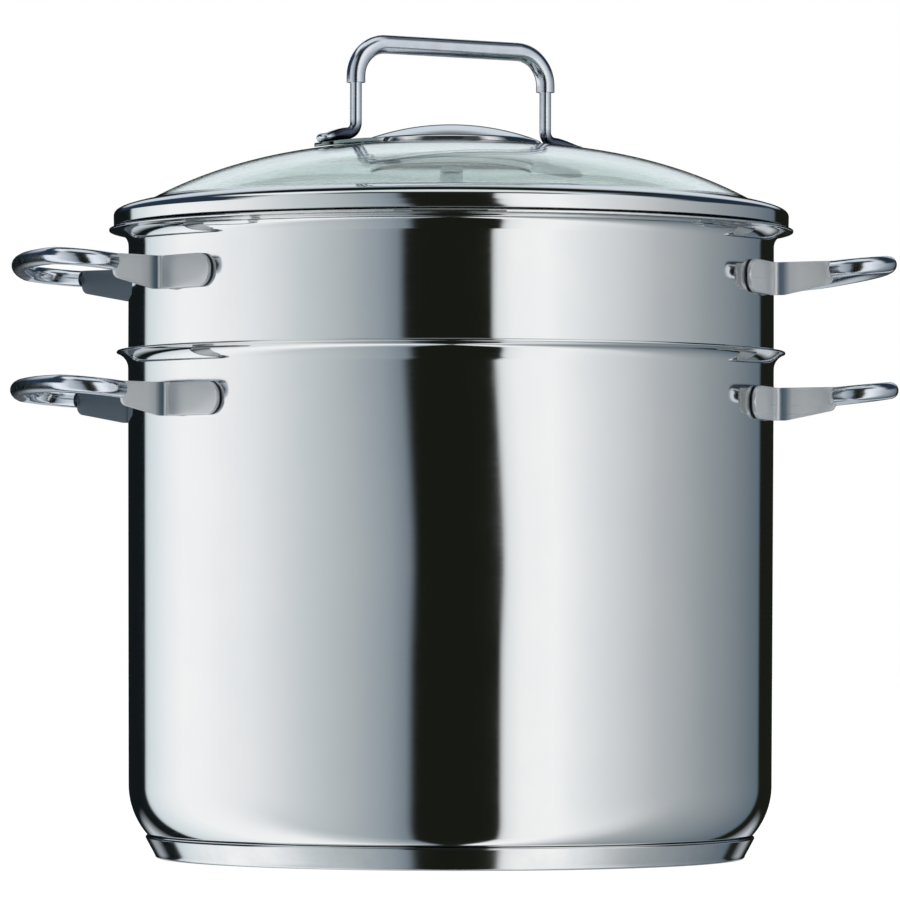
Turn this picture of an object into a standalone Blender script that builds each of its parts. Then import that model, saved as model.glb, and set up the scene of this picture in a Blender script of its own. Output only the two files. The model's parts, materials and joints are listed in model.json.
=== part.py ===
"""Stainless steel pot with a lift-out strainer insert and a domed glass lid.

Metres, +Z up. The origin is the centre of the circle that the base stands on. The loop handles
lie along X on the pot. The insert is turned by INSERT_TURN about Z, as it was put in, and the
lid's handle by LID_TURN from there.
"""

from math import acos, asin, cos, pi, radians, sin, sqrt, tau

import bmesh
import bpy
from mathutils import Matrix, Vector

# General
FIT = 0.0003
OVERRUN = 0.002
MERGE = 0.0001
SEGMENTS = 36
SMALL_SEGMENTS = 20
STUD_SEGMENTS = 12

# Pot vessel
POT_DIAMETER = 0.242
POT_DRAFT = 0.0007
POT_WALL = 0.0009
POT_RIM_HEIGHT = 0.1885
POT_FLARE_RADIUS = 0.006
POT_FLARE_ANGLE = radians(75)
POT_CORNER_RADIUS = 0.028
POT_CORNER_RISE = 0.020

# Sandwich base
CORE_THICKNESS = 0.006
BASE_SHEET = 0.0007
BASE_INSET = 0.0106
BASE_TAPER = 0.0035
BASE_FOOT_ROUND = 0.0012

# Insert
INSERT_TURN = radians(-2.2)
COLLAR_HEIGHT = 0.0464
INSERT_WALL = 0.0009
INSERT_FLANGE = 0.0074
INSERT_FLANGE_FILLET = 0.0056
INSERT_SHOULDER_RADIUS = 0.005
INSERT_SHOULDER_ANGLE = radians(55)
BASKET_SIDE_GAP = 0.0034
BASKET_TAPER = 0.004
BASKET_FLOOR_GAP = 0.0238
BASKET_CORNER_RADIUS = 0.014
HOLE_DIAMETER = 0.0075
HOLE_SIDES = 6
HOLE_ROWS = 5
HOLES_PER_ROW = 18
HOLE_LOW_MARGIN = 0.026
HOLE_HIGH_MARGIN = 0.018
FLOOR_RING_PITCH = 0.036
FLOOR_RINGS = 2

# Loop handles, the same on the pot and on the insert
STRAP_HEIGHT = 0.0122
STRAP_THICKNESS = 0.0018
STRAP_SIDES = 8
STRAP_SQUARENESS = 0.3
PLATE_END_ANGLE = radians(36.8)
PLATE_FOLD_ANGLE = radians(23)
PLATE_END_SHARES = (0.05, 0.25, 0.6)
PLATE_STEPS = 3
PLATE_DROP = 0.0192
FOLD_RADIUS = 0.0026
FOLD_STEPS = 3
STRAP_SPREAD_ANGLE = radians(40)
STRAP_LENGTH = 0.0215
STRAP_TAPER_LENGTH = 0.018
TAPER_SHARES = (0.3, 0.6, 0.85)
TENON_LENGTH = 0.0045
BORE_SIDES = 10
GRIP_DIAMETER = 0.0063
GRIP_WALL = 0.001
GRIP_STANDOFF = 0.0403
GRIP_BOW_RADIUS = 0.260
GRIP_CORNER_RADIUS = 0.012
GRIP_TILT = radians(5.5)
BOW_STEPS = 3
TURN_STEPS = 4

# Steel rim of the lid
RIM_SHEET = 0.0006
RIM_SETBACK = 0.0018
RIM_ROUND = 0.0038
RIM_COVER_WIDTH = 0.0114
SKIRT_GAP = 0.0008
SKIRT_DEPTH = 0.0052
BEDDING_GAP = 0.0002

# Glass lid
GLASS_RISE = 0.0324
GLASS_DROP = 0.0226
GLASS_FULLNESS = 2.8
GLASS_EDGE_GAP = 0.0051
GLASS_EDGE_DROP = 0.0014
GLASS_THICKNESS = 0.004
GLASS_HOLE_DIAMETER = 0.009
GLASS_RADIUS_SHARES = (0.0, 0.28, 0.48, 0.64, 0.76, 0.86, 0.94, 1.0)

# Fittings in the middle of the lid
LID_TURN = radians(22.2)
LID_STRAP_WIDTH = 0.013
LID_STRAP_THICKNESS = 0.0012
LID_STRAP_STEPS = 12
LID_STRAP_END_SHARE = 0.55
CAP_DIAMETER = 0.0686
CAP_SHEET = 0.0008
CAP_RISE = 0.0080
CAP_ROUND = 0.0075
CAP_EDGE_ANGLE = radians(20)
CAP_SKIRT = 0.0004
CAP_ROUND_STEPS = 3
CROWN_STEPS = 4
CUP_DIAMETER = 0.0620
CUP_SHEET = 0.0008
CUP_DEPTH = 0.0045
CUP_ROUND = 0.0014
STUD_DIAMETER = 0.005
STUD_HEAD_DIAMETER = 0.011
STUD_HEAD_HEIGHT = 0.0015
STUD_TAIL = 0.0032
NUT_WIDTH = 0.008
NUT_HEIGHT = 0.003
NUT_SIDES = 6
SEAL_DIAMETER = 0.020
SEAL_SHEET = 0.0008

# Handle of the lid
LEG_DIAMETER = 0.0044
LEG_GAP = 0.0072
LEG_BEND_RADIUS = 0.004
LEG_TENON_LENGTH = 0.005
BEND_STEPS = 4
FOOT_LENGTH = 0.0165
FOOT_WIDTH = 0.0075
FOOT_THICKNESS = 0.0026
FOOT_SQUARENESS = 0.5
FOOT_END_WIDTH_SHARE = 0.7
FOOT_SHARES = (0.0, 0.3, 0.62)
LID_GRIP_DIAMETER = 0.0070
LID_GRIP_WALL = 0.0009
LID_GRIP_RISE = 0.0399
LID_GRIP_DEPTH = 0.0184
LID_GRIP_CORNER_RADIUS = 0.0125
LID_BORE_SIDES = 12

STEEL = dict(color=(0.62, 0.63, 0.64, 1.0), metallic=1.0, roughness=0.16)
WIRE_STEEL = dict(color=(0.60, 0.61, 0.63, 1.0), metallic=1.0, roughness=0.12)
BASE_STEEL = dict(color=(0.58, 0.59, 0.60, 1.0), metallic=1.0, roughness=0.22)
ALUMINIUM = dict(color=(0.75, 0.76, 0.78, 1.0), metallic=1.0, roughness=0.35)
GLASS = dict(color=(0.80, 0.90, 0.89, 1.0), metallic=0.0, roughness=0.03)
SILICONE = dict(color=(0.82, 0.84, 0.84, 1.0), metallic=0.0, roughness=0.5)

# Sizes that follow from the ones above
POT_RADIUS = POT_DIAMETER / 2
POT_LOW_RADIUS = POT_RADIUS - POT_DRAFT
CORE_BOTTOM = BASE_SHEET + FIT
VESSEL_BOTTOM = CORE_BOTTOM + CORE_THICKNESS + FIT
CORNER_CENTRE_HEIGHT = VESSEL_BOTTOM + POT_CORNER_RISE
CORNER_CENTRE_RADIUS = POT_LOW_RADIUS - POT_CORNER_RADIUS
FLARE_CENTRE_RADIUS = POT_RADIUS + POT_FLARE_RADIUS
FLARE_CENTRE_HEIGHT = POT_RIM_HEIGHT - POT_FLARE_RADIUS * sin(POT_FLARE_ANGLE)
BASE_FOOT_RADIUS = POT_RADIUS - BASE_INSET
INSERT_RADIUS = POT_RADIUS
INSERT_RIM_HEIGHT = POT_RIM_HEIGHT + COLLAR_HEIGHT
INSERT_RIM_UNDERSIDE = INSERT_RIM_HEIGHT - INSERT_WALL
INSERT_RIM_RADIUS = INSERT_RADIUS + INSERT_FLANGE
BASKET_RADIUS = POT_LOW_RADIUS - POT_WALL - BASKET_SIDE_GAP
BASKET_FLOOR_HEIGHT = VESSEL_BOTTOM + POT_WALL + BASKET_FLOOR_GAP
GRIP_RADIUS = GRIP_DIAMETER / 2
GRIP_REACH = POT_RADIUS + GRIP_STANDOFF
TENON_RADIUS = (GRIP_RADIUS - GRIP_WALL) * cos(pi / BORE_SIDES) - FIT
RIM_BOTTOM = INSERT_RIM_HEIGHT + FIT
RIM_RADIUS = INSERT_RIM_RADIUS - RIM_SETBACK
COVER_RADIUS = RIM_RADIUS - RIM_COVER_WIDTH
SKIRT_RADIUS = INSERT_RADIUS - INSERT_WALL - SKIRT_GAP
GLASS_CENTRE_HEIGHT = INSERT_RIM_HEIGHT + GLASS_RISE
GLASS_BEND_RADIUS = COVER_RADIUS - FIT
GLASS_EDGE_RADIUS = RIM_RADIUS - GLASS_EDGE_GAP
GLASS_UNDERSIDE = GLASS_CENTRE_HEIGHT - GLASS_THICKNESS
CAP_RADIUS = CAP_DIAMETER / 2
CUP_RADIUS = CUP_DIAMETER / 2
STUD_RADIUS = STUD_DIAMETER / 2
STUD_HOLE_RADIUS = STUD_RADIUS + FIT
LEG_RADIUS = LEG_DIAMETER / 2
LEG_REACH = CAP_RADIUS + LEG_GAP
FOOT_REACH = LEG_REACH + FOOT_LENGTH
LID_GRIP_RADIUS = LID_GRIP_DIAMETER / 2
LID_GRIP_TOP = GLASS_CENTRE_HEIGHT + LID_GRIP_RISE
LID_GRIP_END = LID_GRIP_TOP - LID_GRIP_DEPTH


def clear_scene():
    """Remove every object that the scene starts with."""
    for item in list(bpy.data.objects):
        bpy.data.objects.remove(item, do_unlink=True)


def new_collection(name):
    """Make a collection in the scene."""
    group = bpy.data.collections.new(name)
    bpy.context.scene.collection.children.link(group)
    return group


def new_material(name, look):
    """Make a Principled material from its colour, metallic and roughness values."""
    material = bpy.data.materials.new(name)
    material.use_nodes = True
    shader = material.node_tree.nodes["Principled BSDF"]
    shader.inputs["Base Color"].default_value = look["color"]
    shader.inputs["Metallic"].default_value = look["metallic"]
    shader.inputs["Roughness"].default_value = look["roughness"]
    material.diffuse_color = look["color"]
    return material


def add_object(name, data, group, material, parent=None):
    """Link an object to its collection, with its material and its parent."""
    item = bpy.data.objects.new(name, data)
    group.objects.link(item)
    if material is not None:
        item.data.materials.append(material)
    item.parent = parent
    return item


def shade(item, angle=radians(35)):
    """Shade an object smooth, with its hard edges kept sharp."""
    item.data.shade_smooth()
    item.data.set_sharp_from_angle(angle=angle)


def arc(centre_x, centre_z, radius, start, end, steps):
    """Points along an arc of a profile, both ends included."""
    return [
        (
            centre_x + radius * cos(start + (end - start) * step / steps),
            centre_z + radius * sin(start + (end - start) * step / steps),
        )
        for step in range(steps + 1)
    ]


def turned(name, profile, group, material, parent=None, closed=False, segments=SEGMENTS):
    """Turn a profile of (radius, height) points about Z with a Screw modifier."""
    mesh = bpy.data.meshes.new(name)
    points = [(radius, 0, height) for radius, height in profile]
    edges = [(index, index + 1) for index in range(len(points) - 1)]
    if closed:
        edges.append((len(points) - 1, 0))
    mesh.from_pydata(points, edges, [])
    item = add_object(name, mesh, group, material, parent)
    screw = item.modifiers.new("Turn", "SCREW")
    screw.axis = "Z"
    screw.angle = tau
    screw.steps = segments
    screw.render_steps = segments
    screw.use_merge_vertices = True
    screw.merge_threshold = MERGE
    screw.use_smooth_shade = True
    return item


def thicken(item, wall):
    """Give an open surface its wall, on the side away from its outer face."""
    solid = item.modifiers.new("Wall", "SOLIDIFY")
    solid.thickness = wall
    solid.offset = -1
    solid.use_even_offset = True
    return item


def cut(item, cutter):
    """Cut an object with a hidden cutter."""
    step = item.modifiers.new("Cut " + cutter.name, "BOOLEAN")
    step.operation = "DIFFERENCE"
    step.solver = "EXACT"
    step.object = cutter
    cutter.hide_render = True
    cutter.display_type = "WIRE"


def rings_mesh(name, rings):
    """Loft one closed body through rings with the same number of points."""
    sides = len(rings[0])
    points = [point for ring in rings for point in ring]
    faces = [tuple(reversed(range(sides)))]
    for index in range(len(rings) - 1):
        low = index * sides
        high = low + sides
        for side in range(sides):
            after = (side + 1) % sides
            faces.append((low + side, low + after, high + after, high + side))
    last = (len(rings) - 1) * sides
    faces.append(tuple(last + side for side in range(sides)))
    mesh = bpy.data.meshes.new(name)
    mesh.from_pydata(points, [], faces)
    mesh.update()
    return mesh


def section(centre, across, along, half_across, half_along, fullness, sides):
    """A closed ring between an ellipse (fullness 1) and a rounded rectangle (under 1)."""
    ring = []
    for side in range(sides):
        angle = tau * (side + 0.5) / sides
        first = abs(cos(angle)) ** fullness * (1 if cos(angle) > 0 else -1)
        second = abs(sin(angle)) ** fullness * (1 if sin(angle) > 0 else -1)
        ring.append(centre + across * (half_across * first) + along * (half_along * second))
    return ring


def loft(stations, sides):
    """Rings along a path: each station holds its centre, heading, half sizes and fullness."""
    rings = []
    for centre, heading, across, half_across, half_up, fullness in stations:
        upright = heading.cross(across).normalized()
        rings.append(section(centre, across, upright, half_across, half_up, fullness, sides))
    return rings


def below_corner(radius, clearance):
    """Height, at a radius, of a line that keeps clear of the pot's outer bottom corner."""
    reach = POT_CORNER_RADIUS + clearance
    return CORNER_CENTRE_HEIGHT - sqrt(reach ** 2 - (radius - CORNER_CENTRE_RADIUS) ** 2)


def build_pot_body(group, material):
    """The vessel: floor, bottom corner, wall with a little draft, and flared rim."""
    flare = arc(FLARE_CENTRE_RADIUS, FLARE_CENTRE_HEIGHT, POT_FLARE_RADIUS, pi - POT_FLARE_ANGLE, pi, 5)
    low_angle = -asin(POT_CORNER_RISE / POT_CORNER_RADIUS)
    corner = arc(CORNER_CENTRE_RADIUS, CORNER_CENTRE_HEIGHT, POT_CORNER_RADIUS, 0, low_angle, 5)
    profile = flare + corner + [(0, VESSEL_BOTTOM)]
    body = turned("pot_body", profile, group, material)
    return thicken(body, POT_WALL)


def build_base(group, steel, aluminium):
    """The aluminium disc and the tapered steel capsule that closes over it."""
    top_radius = BASE_FOOT_RADIUS + BASE_TAPER
    top_height = below_corner(top_radius - BASE_SHEET, FIT)
    foot_edge = arc(BASE_FOOT_RADIUS - BASE_FOOT_ROUND, BASE_FOOT_ROUND, BASE_FOOT_ROUND, 0, -pi / 2, 2)
    cap = turned("base_cap", [(top_radius, top_height)] + foot_edge + [(0, 0)], group, steel)
    thicken(cap, BASE_SHEET)
    bpy.ops.mesh.primitive_cylinder_add(
        vertices=SEGMENTS,
        radius=BASE_FOOT_RADIUS - BASE_SHEET - BASE_FOOT_ROUND,
        depth=CORE_THICKNESS,
        location=(0, 0, CORE_BOTTOM + CORE_THICKNESS / 2),
    )
    core = bpy.context.object
    core.name = "base_core"
    core.data.name = "base_core"
    core.data.materials.append(aluminium)
    move_to(core, group)
    shade(core)


def shoulder_centre():
    """Centre of the insert's shoulder, which rests in the pot's flared rim."""
    radius = INSERT_RADIUS - INSERT_SHOULDER_RADIUS
    reach = POT_FLARE_RADIUS + POT_WALL + FIT + INSERT_SHOULDER_RADIUS
    rise = sqrt(reach ** 2 - (FLARE_CENTRE_RADIUS - radius) ** 2)
    return radius, FLARE_CENTRE_HEIGHT + rise


def build_insert_body(group, cutters, material, parent):
    """The collar with its flat rim and shoulder, and the perforated basket."""
    fillet_radius = INSERT_RADIUS + INSERT_FLANGE_FILLET
    fillet_height = INSERT_RIM_UNDERSIDE - INSERT_FLANGE_FILLET
    shoulder_radius, shoulder_height = shoulder_centre()
    shoulder = arc(shoulder_radius, shoulder_height, INSERT_SHOULDER_RADIUS, 0, -INSERT_SHOULDER_ANGLE, 3)
    neck_radius, neck_height = shoulder[-1]
    basket_top = neck_height - (neck_radius - BASKET_RADIUS)
    corner_radius = BASKET_RADIUS - BASKET_TAPER - BASKET_CORNER_RADIUS
    corner_height = BASKET_FLOOR_HEIGHT + BASKET_CORNER_RADIUS
    profile = [(INSERT_RIM_RADIUS, INSERT_RIM_UNDERSIDE)]
    profile += arc(fillet_radius, fillet_height, INSERT_FLANGE_FILLET, pi / 2, pi, 3)
    profile += shoulder
    profile += [(BASKET_RADIUS, basket_top)]
    profile += arc(corner_radius, corner_height, BASKET_CORNER_RADIUS, 0, -pi / 2, 3)
    profile += [(0, BASKET_FLOOR_HEIGHT)]
    body = turned("insert_body", profile, group, material, parent)
    thicken(body, INSERT_WALL)
    for punches in (build_wall_punches(cutters, basket_top), build_floor_punches(cutters)):
        punches.parent = parent
        cut(body, punches)


def joined_prisms(name, places, radius, depth, sides, cutters):
    """One cutter object that holds a prism at each place, along its own Z."""
    points = []
    faces = []
    for place in places:
        first = len(points)
        for end in (-depth / 2, depth / 2):
            for side in range(sides):
                angle = tau * (side + 0.5) / sides
                corner = Vector((radius * cos(angle), radius * sin(angle), end))
                points.append(place @ corner)
        faces.append(tuple(first + side for side in reversed(range(sides))))
        faces.append(tuple(first + sides + side for side in range(sides)))
        for side in range(sides):
            after = (side + 1) % sides
            faces.append((first + side, first + after, first + sides + after, first + sides + side))
    mesh = bpy.data.meshes.new(name)
    mesh.from_pydata(points, [], faces)
    mesh.update()
    return add_object(name, mesh, cutters, None)


def build_wall_punches(cutters, basket_top):
    """Punches for the rows of holes in the basket's wall, each row half a step on."""
    lowest = BASKET_FLOOR_HEIGHT + HOLE_LOW_MARGIN
    pitch = (basket_top - HOLE_HIGH_MARGIN - lowest) / (HOLE_ROWS - 1)
    places = []
    for row in range(HOLE_ROWS):
        for index in range(HOLES_PER_ROW):
            angle = tau * (index + 0.5 * (row % 2)) / HOLES_PER_ROW + pi / SEGMENTS
            spot = Matrix.Translation((BASKET_RADIUS, 0, lowest + pitch * row))
            outward = Matrix.Rotation(angle, 4, "Z") @ spot
            places.append(outward @ Matrix.Rotation(pi / 2, 4, "Y"))
    depth = 2 * (BASKET_TAPER + INSERT_WALL + OVERRUN)
    return joined_prisms("wall_punches", places, HOLE_DIAMETER / 2, depth, HOLE_SIDES, cutters)


def build_floor_punches(cutters):
    """Punches for the hole in the middle of the basket's floor and the rings round it."""
    height = BASKET_FLOOR_HEIGHT + INSERT_WALL / 2
    places = [Matrix.Translation((0, 0, height))]
    for ring in range(1, FLOOR_RINGS + 1):
        radius = FLOOR_RING_PITCH * ring
        for index in range(6 * ring):
            angle = tau * (index + 0.5) / (6 * ring)
            places.append(Matrix.Translation((radius * cos(angle), radius * sin(angle), height)))
    depth = INSERT_WALL + 2 * OVERRUN
    return joined_prisms("floor_punches", places, HOLE_DIAMETER / 2, depth, HOLE_SIDES, cutters)


def strap_plan():
    """Plan of one strap at +X and +Y as (point, heading) pairs, and the start of its grip."""
    wall_radius = POT_RADIUS + FIT + STRAP_THICKNESS / 2
    half_height = STRAP_HEIGHT / 2
    full_angle = PLATE_END_ANGLE - half_height / wall_radius
    angles = [PLATE_END_ANGLE - half_height * share / wall_radius for share in PLATE_END_SHARES]
    for step in range(PLATE_STEPS + 1):
        angles.append(full_angle + (PLATE_FOLD_ANGLE - full_angle) * step / PLATE_STEPS)
    plate = []
    for angle in angles:
        outward = Vector((cos(angle), sin(angle), 0))
        plate.append((outward * wall_radius, Vector((outward.y, -outward.x, 0))))
    centre = outward * (wall_radius + FOLD_RADIUS)
    fold_start = PLATE_FOLD_ANGLE + pi
    fold_end = STRAP_SPREAD_ANGLE + 3 * pi / 2
    fold = []
    for step in range(1, FOLD_STEPS + 1):
        angle = fold_start + (fold_end - fold_start) * step / FOLD_STEPS
        inward = Vector((cos(angle), sin(angle), 0))
        fold.append((centre + inward * FOLD_RADIUS, Vector((-inward.y, inward.x, 0))))
    start, heading = fold[-1]
    return plate, fold, start + heading * STRAP_LENGTH, heading


def grip_plan():
    """Plan of half a grip at +X, from its middle on the X axis to its end at +Y."""
    _, _, socket, heading = strap_plan()
    bow_centre = Vector((GRIP_REACH - GRIP_BOW_RADIUS, 0, 0))
    reach = GRIP_BOW_RADIUS - GRIP_CORNER_RADIUS
    line_point = socket + Vector((heading.y, -heading.x, 0)) * GRIP_CORNER_RADIUS
    offset = line_point - bow_centre
    along = offset.dot(heading)
    run = sqrt(along ** 2 - offset.length_squared + reach ** 2) - along
    corner = line_point + heading * run
    bow_angle = (corner - bow_centre).angle(Vector((1, 0, 0)))
    plan = []
    for step in range(BOW_STEPS):
        angle = bow_angle * step / BOW_STEPS
        plan.append(bow_centre + Vector((cos(angle), sin(angle), 0)) * GRIP_BOW_RADIUS)
    turn_end = STRAP_SPREAD_ANGLE + pi / 2
    for step in range(TURN_STEPS + 1):
        angle = bow_angle + (turn_end - bow_angle) * step / TURN_STEPS
        plan.append(corner + Vector((cos(angle), sin(angle), 0)) * GRIP_CORNER_RADIUS)
    return plan + [socket]


def tilted(point, height, pivot):
    """Raise a point of the grip's plan by the tilt of the loop past its sockets."""
    rise = (point.x - pivot) * sin(GRIP_TILT)
    return Vector((point.x, point.y, height + rise))


def socket_height(plate_height):
    """Height of the middle of the grip's end: its top is level with the strap's."""
    return plate_height + STRAP_HEIGHT / 2 - GRIP_RADIUS


def bracket_rings(plate_height):
    """Rings of one strap at +X and +Y, from the round end of its plate to its tenon."""
    plate, fold, socket, heading = strap_plan()
    up = Vector((0, 0, 1))
    half = STRAP_HEIGHT / 2
    thin = STRAP_THICKNESS / 2
    stations = []
    for index, (point, tangent) in enumerate(plate):
        share = 1
        if index < len(PLATE_END_SHARES):
            share = sqrt(1 - (1 - PLATE_END_SHARES[index]) ** 2)
        centre = point + up * plate_height
        stations.append((centre, tangent, up, half * share, thin, STRAP_SQUARENESS))
    for point, tangent in fold:
        stations.append((point + up * plate_height, tangent, up, half, thin, STRAP_SQUARENESS))
    shoulder = socket - heading * FIT
    taper_start = shoulder - heading * STRAP_TAPER_LENGTH
    stations.append((taper_start + up * plate_height, heading, up, half, thin, STRAP_SQUARENESS))
    for share in TAPER_SHARES:
        slim = half + (GRIP_RADIUS - half) * share
        thick = thin + (TENON_RADIUS - thin) * share ** 2
        fullness = STRAP_SQUARENESS + (1 - STRAP_SQUARENESS) * share
        point = taper_start + heading * (STRAP_TAPER_LENGTH * share)
        centre = point + up * (plate_height + half - slim)
        stations.append((centre, heading, up, slim, thick, fullness))
    height = socket_height(plate_height)
    end = socket + heading * TENON_LENGTH
    rising = (tilted(end, height, socket.x) - tilted(socket, height, socket.x)).normalized()
    across = rising.cross(Vector((heading.y, -heading.x, 0))).normalized()
    for point, radius in ((shoulder, GRIP_RADIUS), (shoulder, TENON_RADIUS), (end, TENON_RADIUS)):
        centre = tilted(point, height, socket.x)
        stations.append((centre, rising, across, radius, radius, 1))
    return loft(stations, STRAP_SIDES)


def mirrored(rings, side, end):
    """Copies of rings across X when side is -1 and across Y when end is -1."""
    copies = [[Vector((point.x * side, point.y * end, point.z)) for point in ring] for ring in rings]
    if side * end < 0:
        copies = [list(reversed(ring)) for ring in copies]
    return copies


def build_loop_handles(owner, rim_height, group, cutters, steel, wire, parent):
    """Both loop handles of the pot or the insert: four straps and two grips."""
    plate_height = rim_height - PLATE_DROP
    rings = bracket_rings(plate_height)
    for side_name, side in (("left", -1), ("right", 1)):
        for end_name, end in (("front", -1), ("back", 1)):
            name = owner + "_bracket_" + side_name + "_" + end_name
            mesh = rings_mesh(name, mirrored(rings, side, end))
            shade(add_object(name, mesh, group, steel, parent))
        build_loop_grip(owner + "_grip_" + side_name, side, plate_height, group, cutters, wire, parent)


def build_loop_grip(name, side, plate_height, group, cutters, material, parent):
    """One bent tube with a bored socket at each end."""
    half_plan = grip_plan()
    socket = half_plan[-1]
    plan = [Vector((point.x, -point.y, 0)) for point in reversed(half_plan)] + half_plan[1:]
    height = socket_height(plate_height)
    points = [tilted(point, height, socket.x) for point in plan]
    points = [Vector((point.x * side, point.y, point.z)) for point in points]
    tube = tube_mesh(name, points, GRIP_RADIUS, group, material, parent)
    bores = []
    for end, inner in ((points[0], points[1]), (points[-1], points[-2])):
        heading = (inner - end).normalized()
        turn_to = heading.to_track_quat("Z", "Y").to_matrix().to_4x4()
        bores.append(Matrix.Translation(end) @ turn_to)
    depth = 2 * (TENON_LENGTH + FIT)
    bore = joined_prisms(name + "_bores", bores, GRIP_RADIUS - GRIP_WALL, depth, BORE_SIDES, cutters)
    bore.parent = parent
    cut(tube, bore)


def tube_mesh(name, points, radius, group, material, parent):
    """A round bar along a row of points, made as a curve and turned into a mesh."""
    curve = bpy.data.curves.new(name + "_curve", "CURVE")
    curve.dimensions = "3D"
    curve.bevel_depth = radius
    curve.bevel_resolution = 3
    curve.use_fill_caps = True
    spline = curve.splines.new("POLY")
    spline.points.add(len(points) - 1)
    for target, point in zip(spline.points, points):
        target.co = (point.x, point.y, point.z, 1)
    guide = add_object(name + "_curve", curve, group, None)
    bpy.context.view_layer.update()
    evaluated = guide.evaluated_get(bpy.context.evaluated_depsgraph_get())
    mesh = bpy.data.meshes.new_from_object(evaluated)
    weld(mesh)
    mesh.transform(guide.matrix_world)
    bpy.data.objects.remove(guide, do_unlink=True)
    item = add_object(name, mesh, group, material, parent)
    mesh.name = name
    shade(item)
    return item


def weld(mesh):
    """Join the loose caps of a tube to its wall."""
    work = bmesh.new()
    work.from_mesh(mesh)
    bmesh.ops.remove_doubles(work, verts=work.verts, dist=MERGE / 10)
    bmesh.ops.recalc_face_normals(work, faces=work.faces)
    work.to_mesh(mesh)
    work.free()


def glass_height(radius):
    """Height of the top of the glass at a radius, out to its bend."""
    return GLASS_CENTRE_HEIGHT - GLASS_DROP * (abs(radius) / GLASS_BEND_RADIUS) ** GLASS_FULLNESS


def build_lid_glass(group, material, parent):
    """Domed glass, flat in the middle, with a hole and a level edge."""
    hole = GLASS_HOLE_DIAMETER / 2
    profile = []
    for share in GLASS_RADIUS_SHARES:
        radius = hole + (GLASS_BEND_RADIUS - hole) * share
        profile.append((radius, glass_height(radius)))
    profile.append((GLASS_EDGE_RADIUS, glass_height(GLASS_BEND_RADIUS) - GLASS_EDGE_DROP))
    glass = turned("lid_glass", profile, group, material, parent)
    return thicken(glass, GLASS_THICKNESS)


def build_lid_rim(group, steel, silicone, parent):
    """The rolled band round the glass with its skirt, and the bead inside it."""
    cover = FIT + RIM_SHEET
    bend_height = glass_height(GLASS_BEND_RADIUS)
    edge_height = bend_height - GLASS_EDGE_DROP
    round_radius = RIM_RADIUS - RIM_ROUND
    round_height = edge_height + cover - RIM_ROUND
    profile = [(COVER_RADIUS, bend_height + cover)]
    profile += [(round_radius, edge_height + cover)]
    profile += arc(round_radius, round_height, RIM_ROUND, radians(60), 0, 3)
    profile += [(RIM_RADIUS, RIM_BOTTOM)]
    profile += [(SKIRT_RADIUS, RIM_BOTTOM)]
    profile += [(SKIRT_RADIUS, RIM_BOTTOM - SKIRT_DEPTH)]
    rim = turned("lid_rim", profile, group, steel, parent)
    thicken(rim, RIM_SHEET)
    bead_outer = RIM_RADIUS - RIM_SHEET - FIT
    bead_inner = SKIRT_RADIUS + BEDDING_GAP
    bead_bottom = RIM_BOTTOM + RIM_SHEET + FIT
    bead_top = edge_height - GLASS_THICKNESS - FIT
    bead = [
        (bead_outer, bead_top),
        (bead_outer, bead_bottom),
        (bead_inner, bead_bottom),
        (bead_inner, bead_top),
    ]
    turned("lid_bedding", bead, group, silicone, parent, closed=True)


def build_lid_strap(group, steel, parent):
    """The strip that follows the glass under the cap and both feet of the handle."""
    across = Vector((0, 1, 0))
    half = LID_STRAP_WIDTH / 2
    raised = FIT + LID_STRAP_THICKNESS / 2
    stations = []
    for step in range(LID_STRAP_STEPS + 1):
        reach = FOOT_REACH * (2 * step / LID_STRAP_STEPS - 1)
        slope = (glass_height(reach + FIT) - glass_height(reach - FIT)) / (2 * FIT)
        heading = Vector((1, 0, slope)).normalized()
        share = min(1, LID_STRAP_END_SHARE + (FOOT_REACH - abs(reach)) / half)
        centre = Vector((reach, 0, glass_height(reach) + raised))
        stations.append((centre, heading, across, half * share, LID_STRAP_THICKNESS / 2, 0))
    rings = loft(stations, 4)
    return add_object("lid_strap", rings_mesh("lid_strap", rings), group, steel, parent)


def build_lid(group, cutters, looks, parent):
    """Every piece of the lid."""
    build_lid_glass(group, looks["glass"], parent)
    build_lid_rim(group, looks["steel"], looks["silicone"], parent)
    turned_frame = bpy.data.objects.new("lid_handle_frame", None)
    group.objects.link(turned_frame)
    turned_frame.parent = parent
    turned_frame.rotation_euler = (0, 0, LID_TURN)
    build_lid_fittings(group, cutters, looks, turned_frame)
    build_lid_handle(group, cutters, looks["wire"], turned_frame)


def cap_plan():
    """Centre of the cap's rounded edge, and the radius of the crown that runs into it."""
    foot = glass_height(CAP_RADIUS) + FIT
    round_radius = CAP_RADIUS - CAP_ROUND * cos(CAP_EDGE_ANGLE)
    round_height = foot + CAP_SKIRT - CAP_ROUND * sin(CAP_EDGE_ANGLE)
    drop = GLASS_CENTRE_HEIGHT + CAP_RISE - round_height
    crown_radius = (round_radius ** 2 + drop ** 2 - CAP_ROUND ** 2) / (2 * (drop - CAP_ROUND))
    return round_radius, round_height, crown_radius


def crown_height(reach):
    """Height of the top of the lid's cap at a distance from its middle."""
    _, _, crown_radius = cap_plan()
    return GLASS_CENTRE_HEIGHT + CAP_RISE - crown_radius + sqrt(crown_radius ** 2 - reach ** 2)


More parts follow.
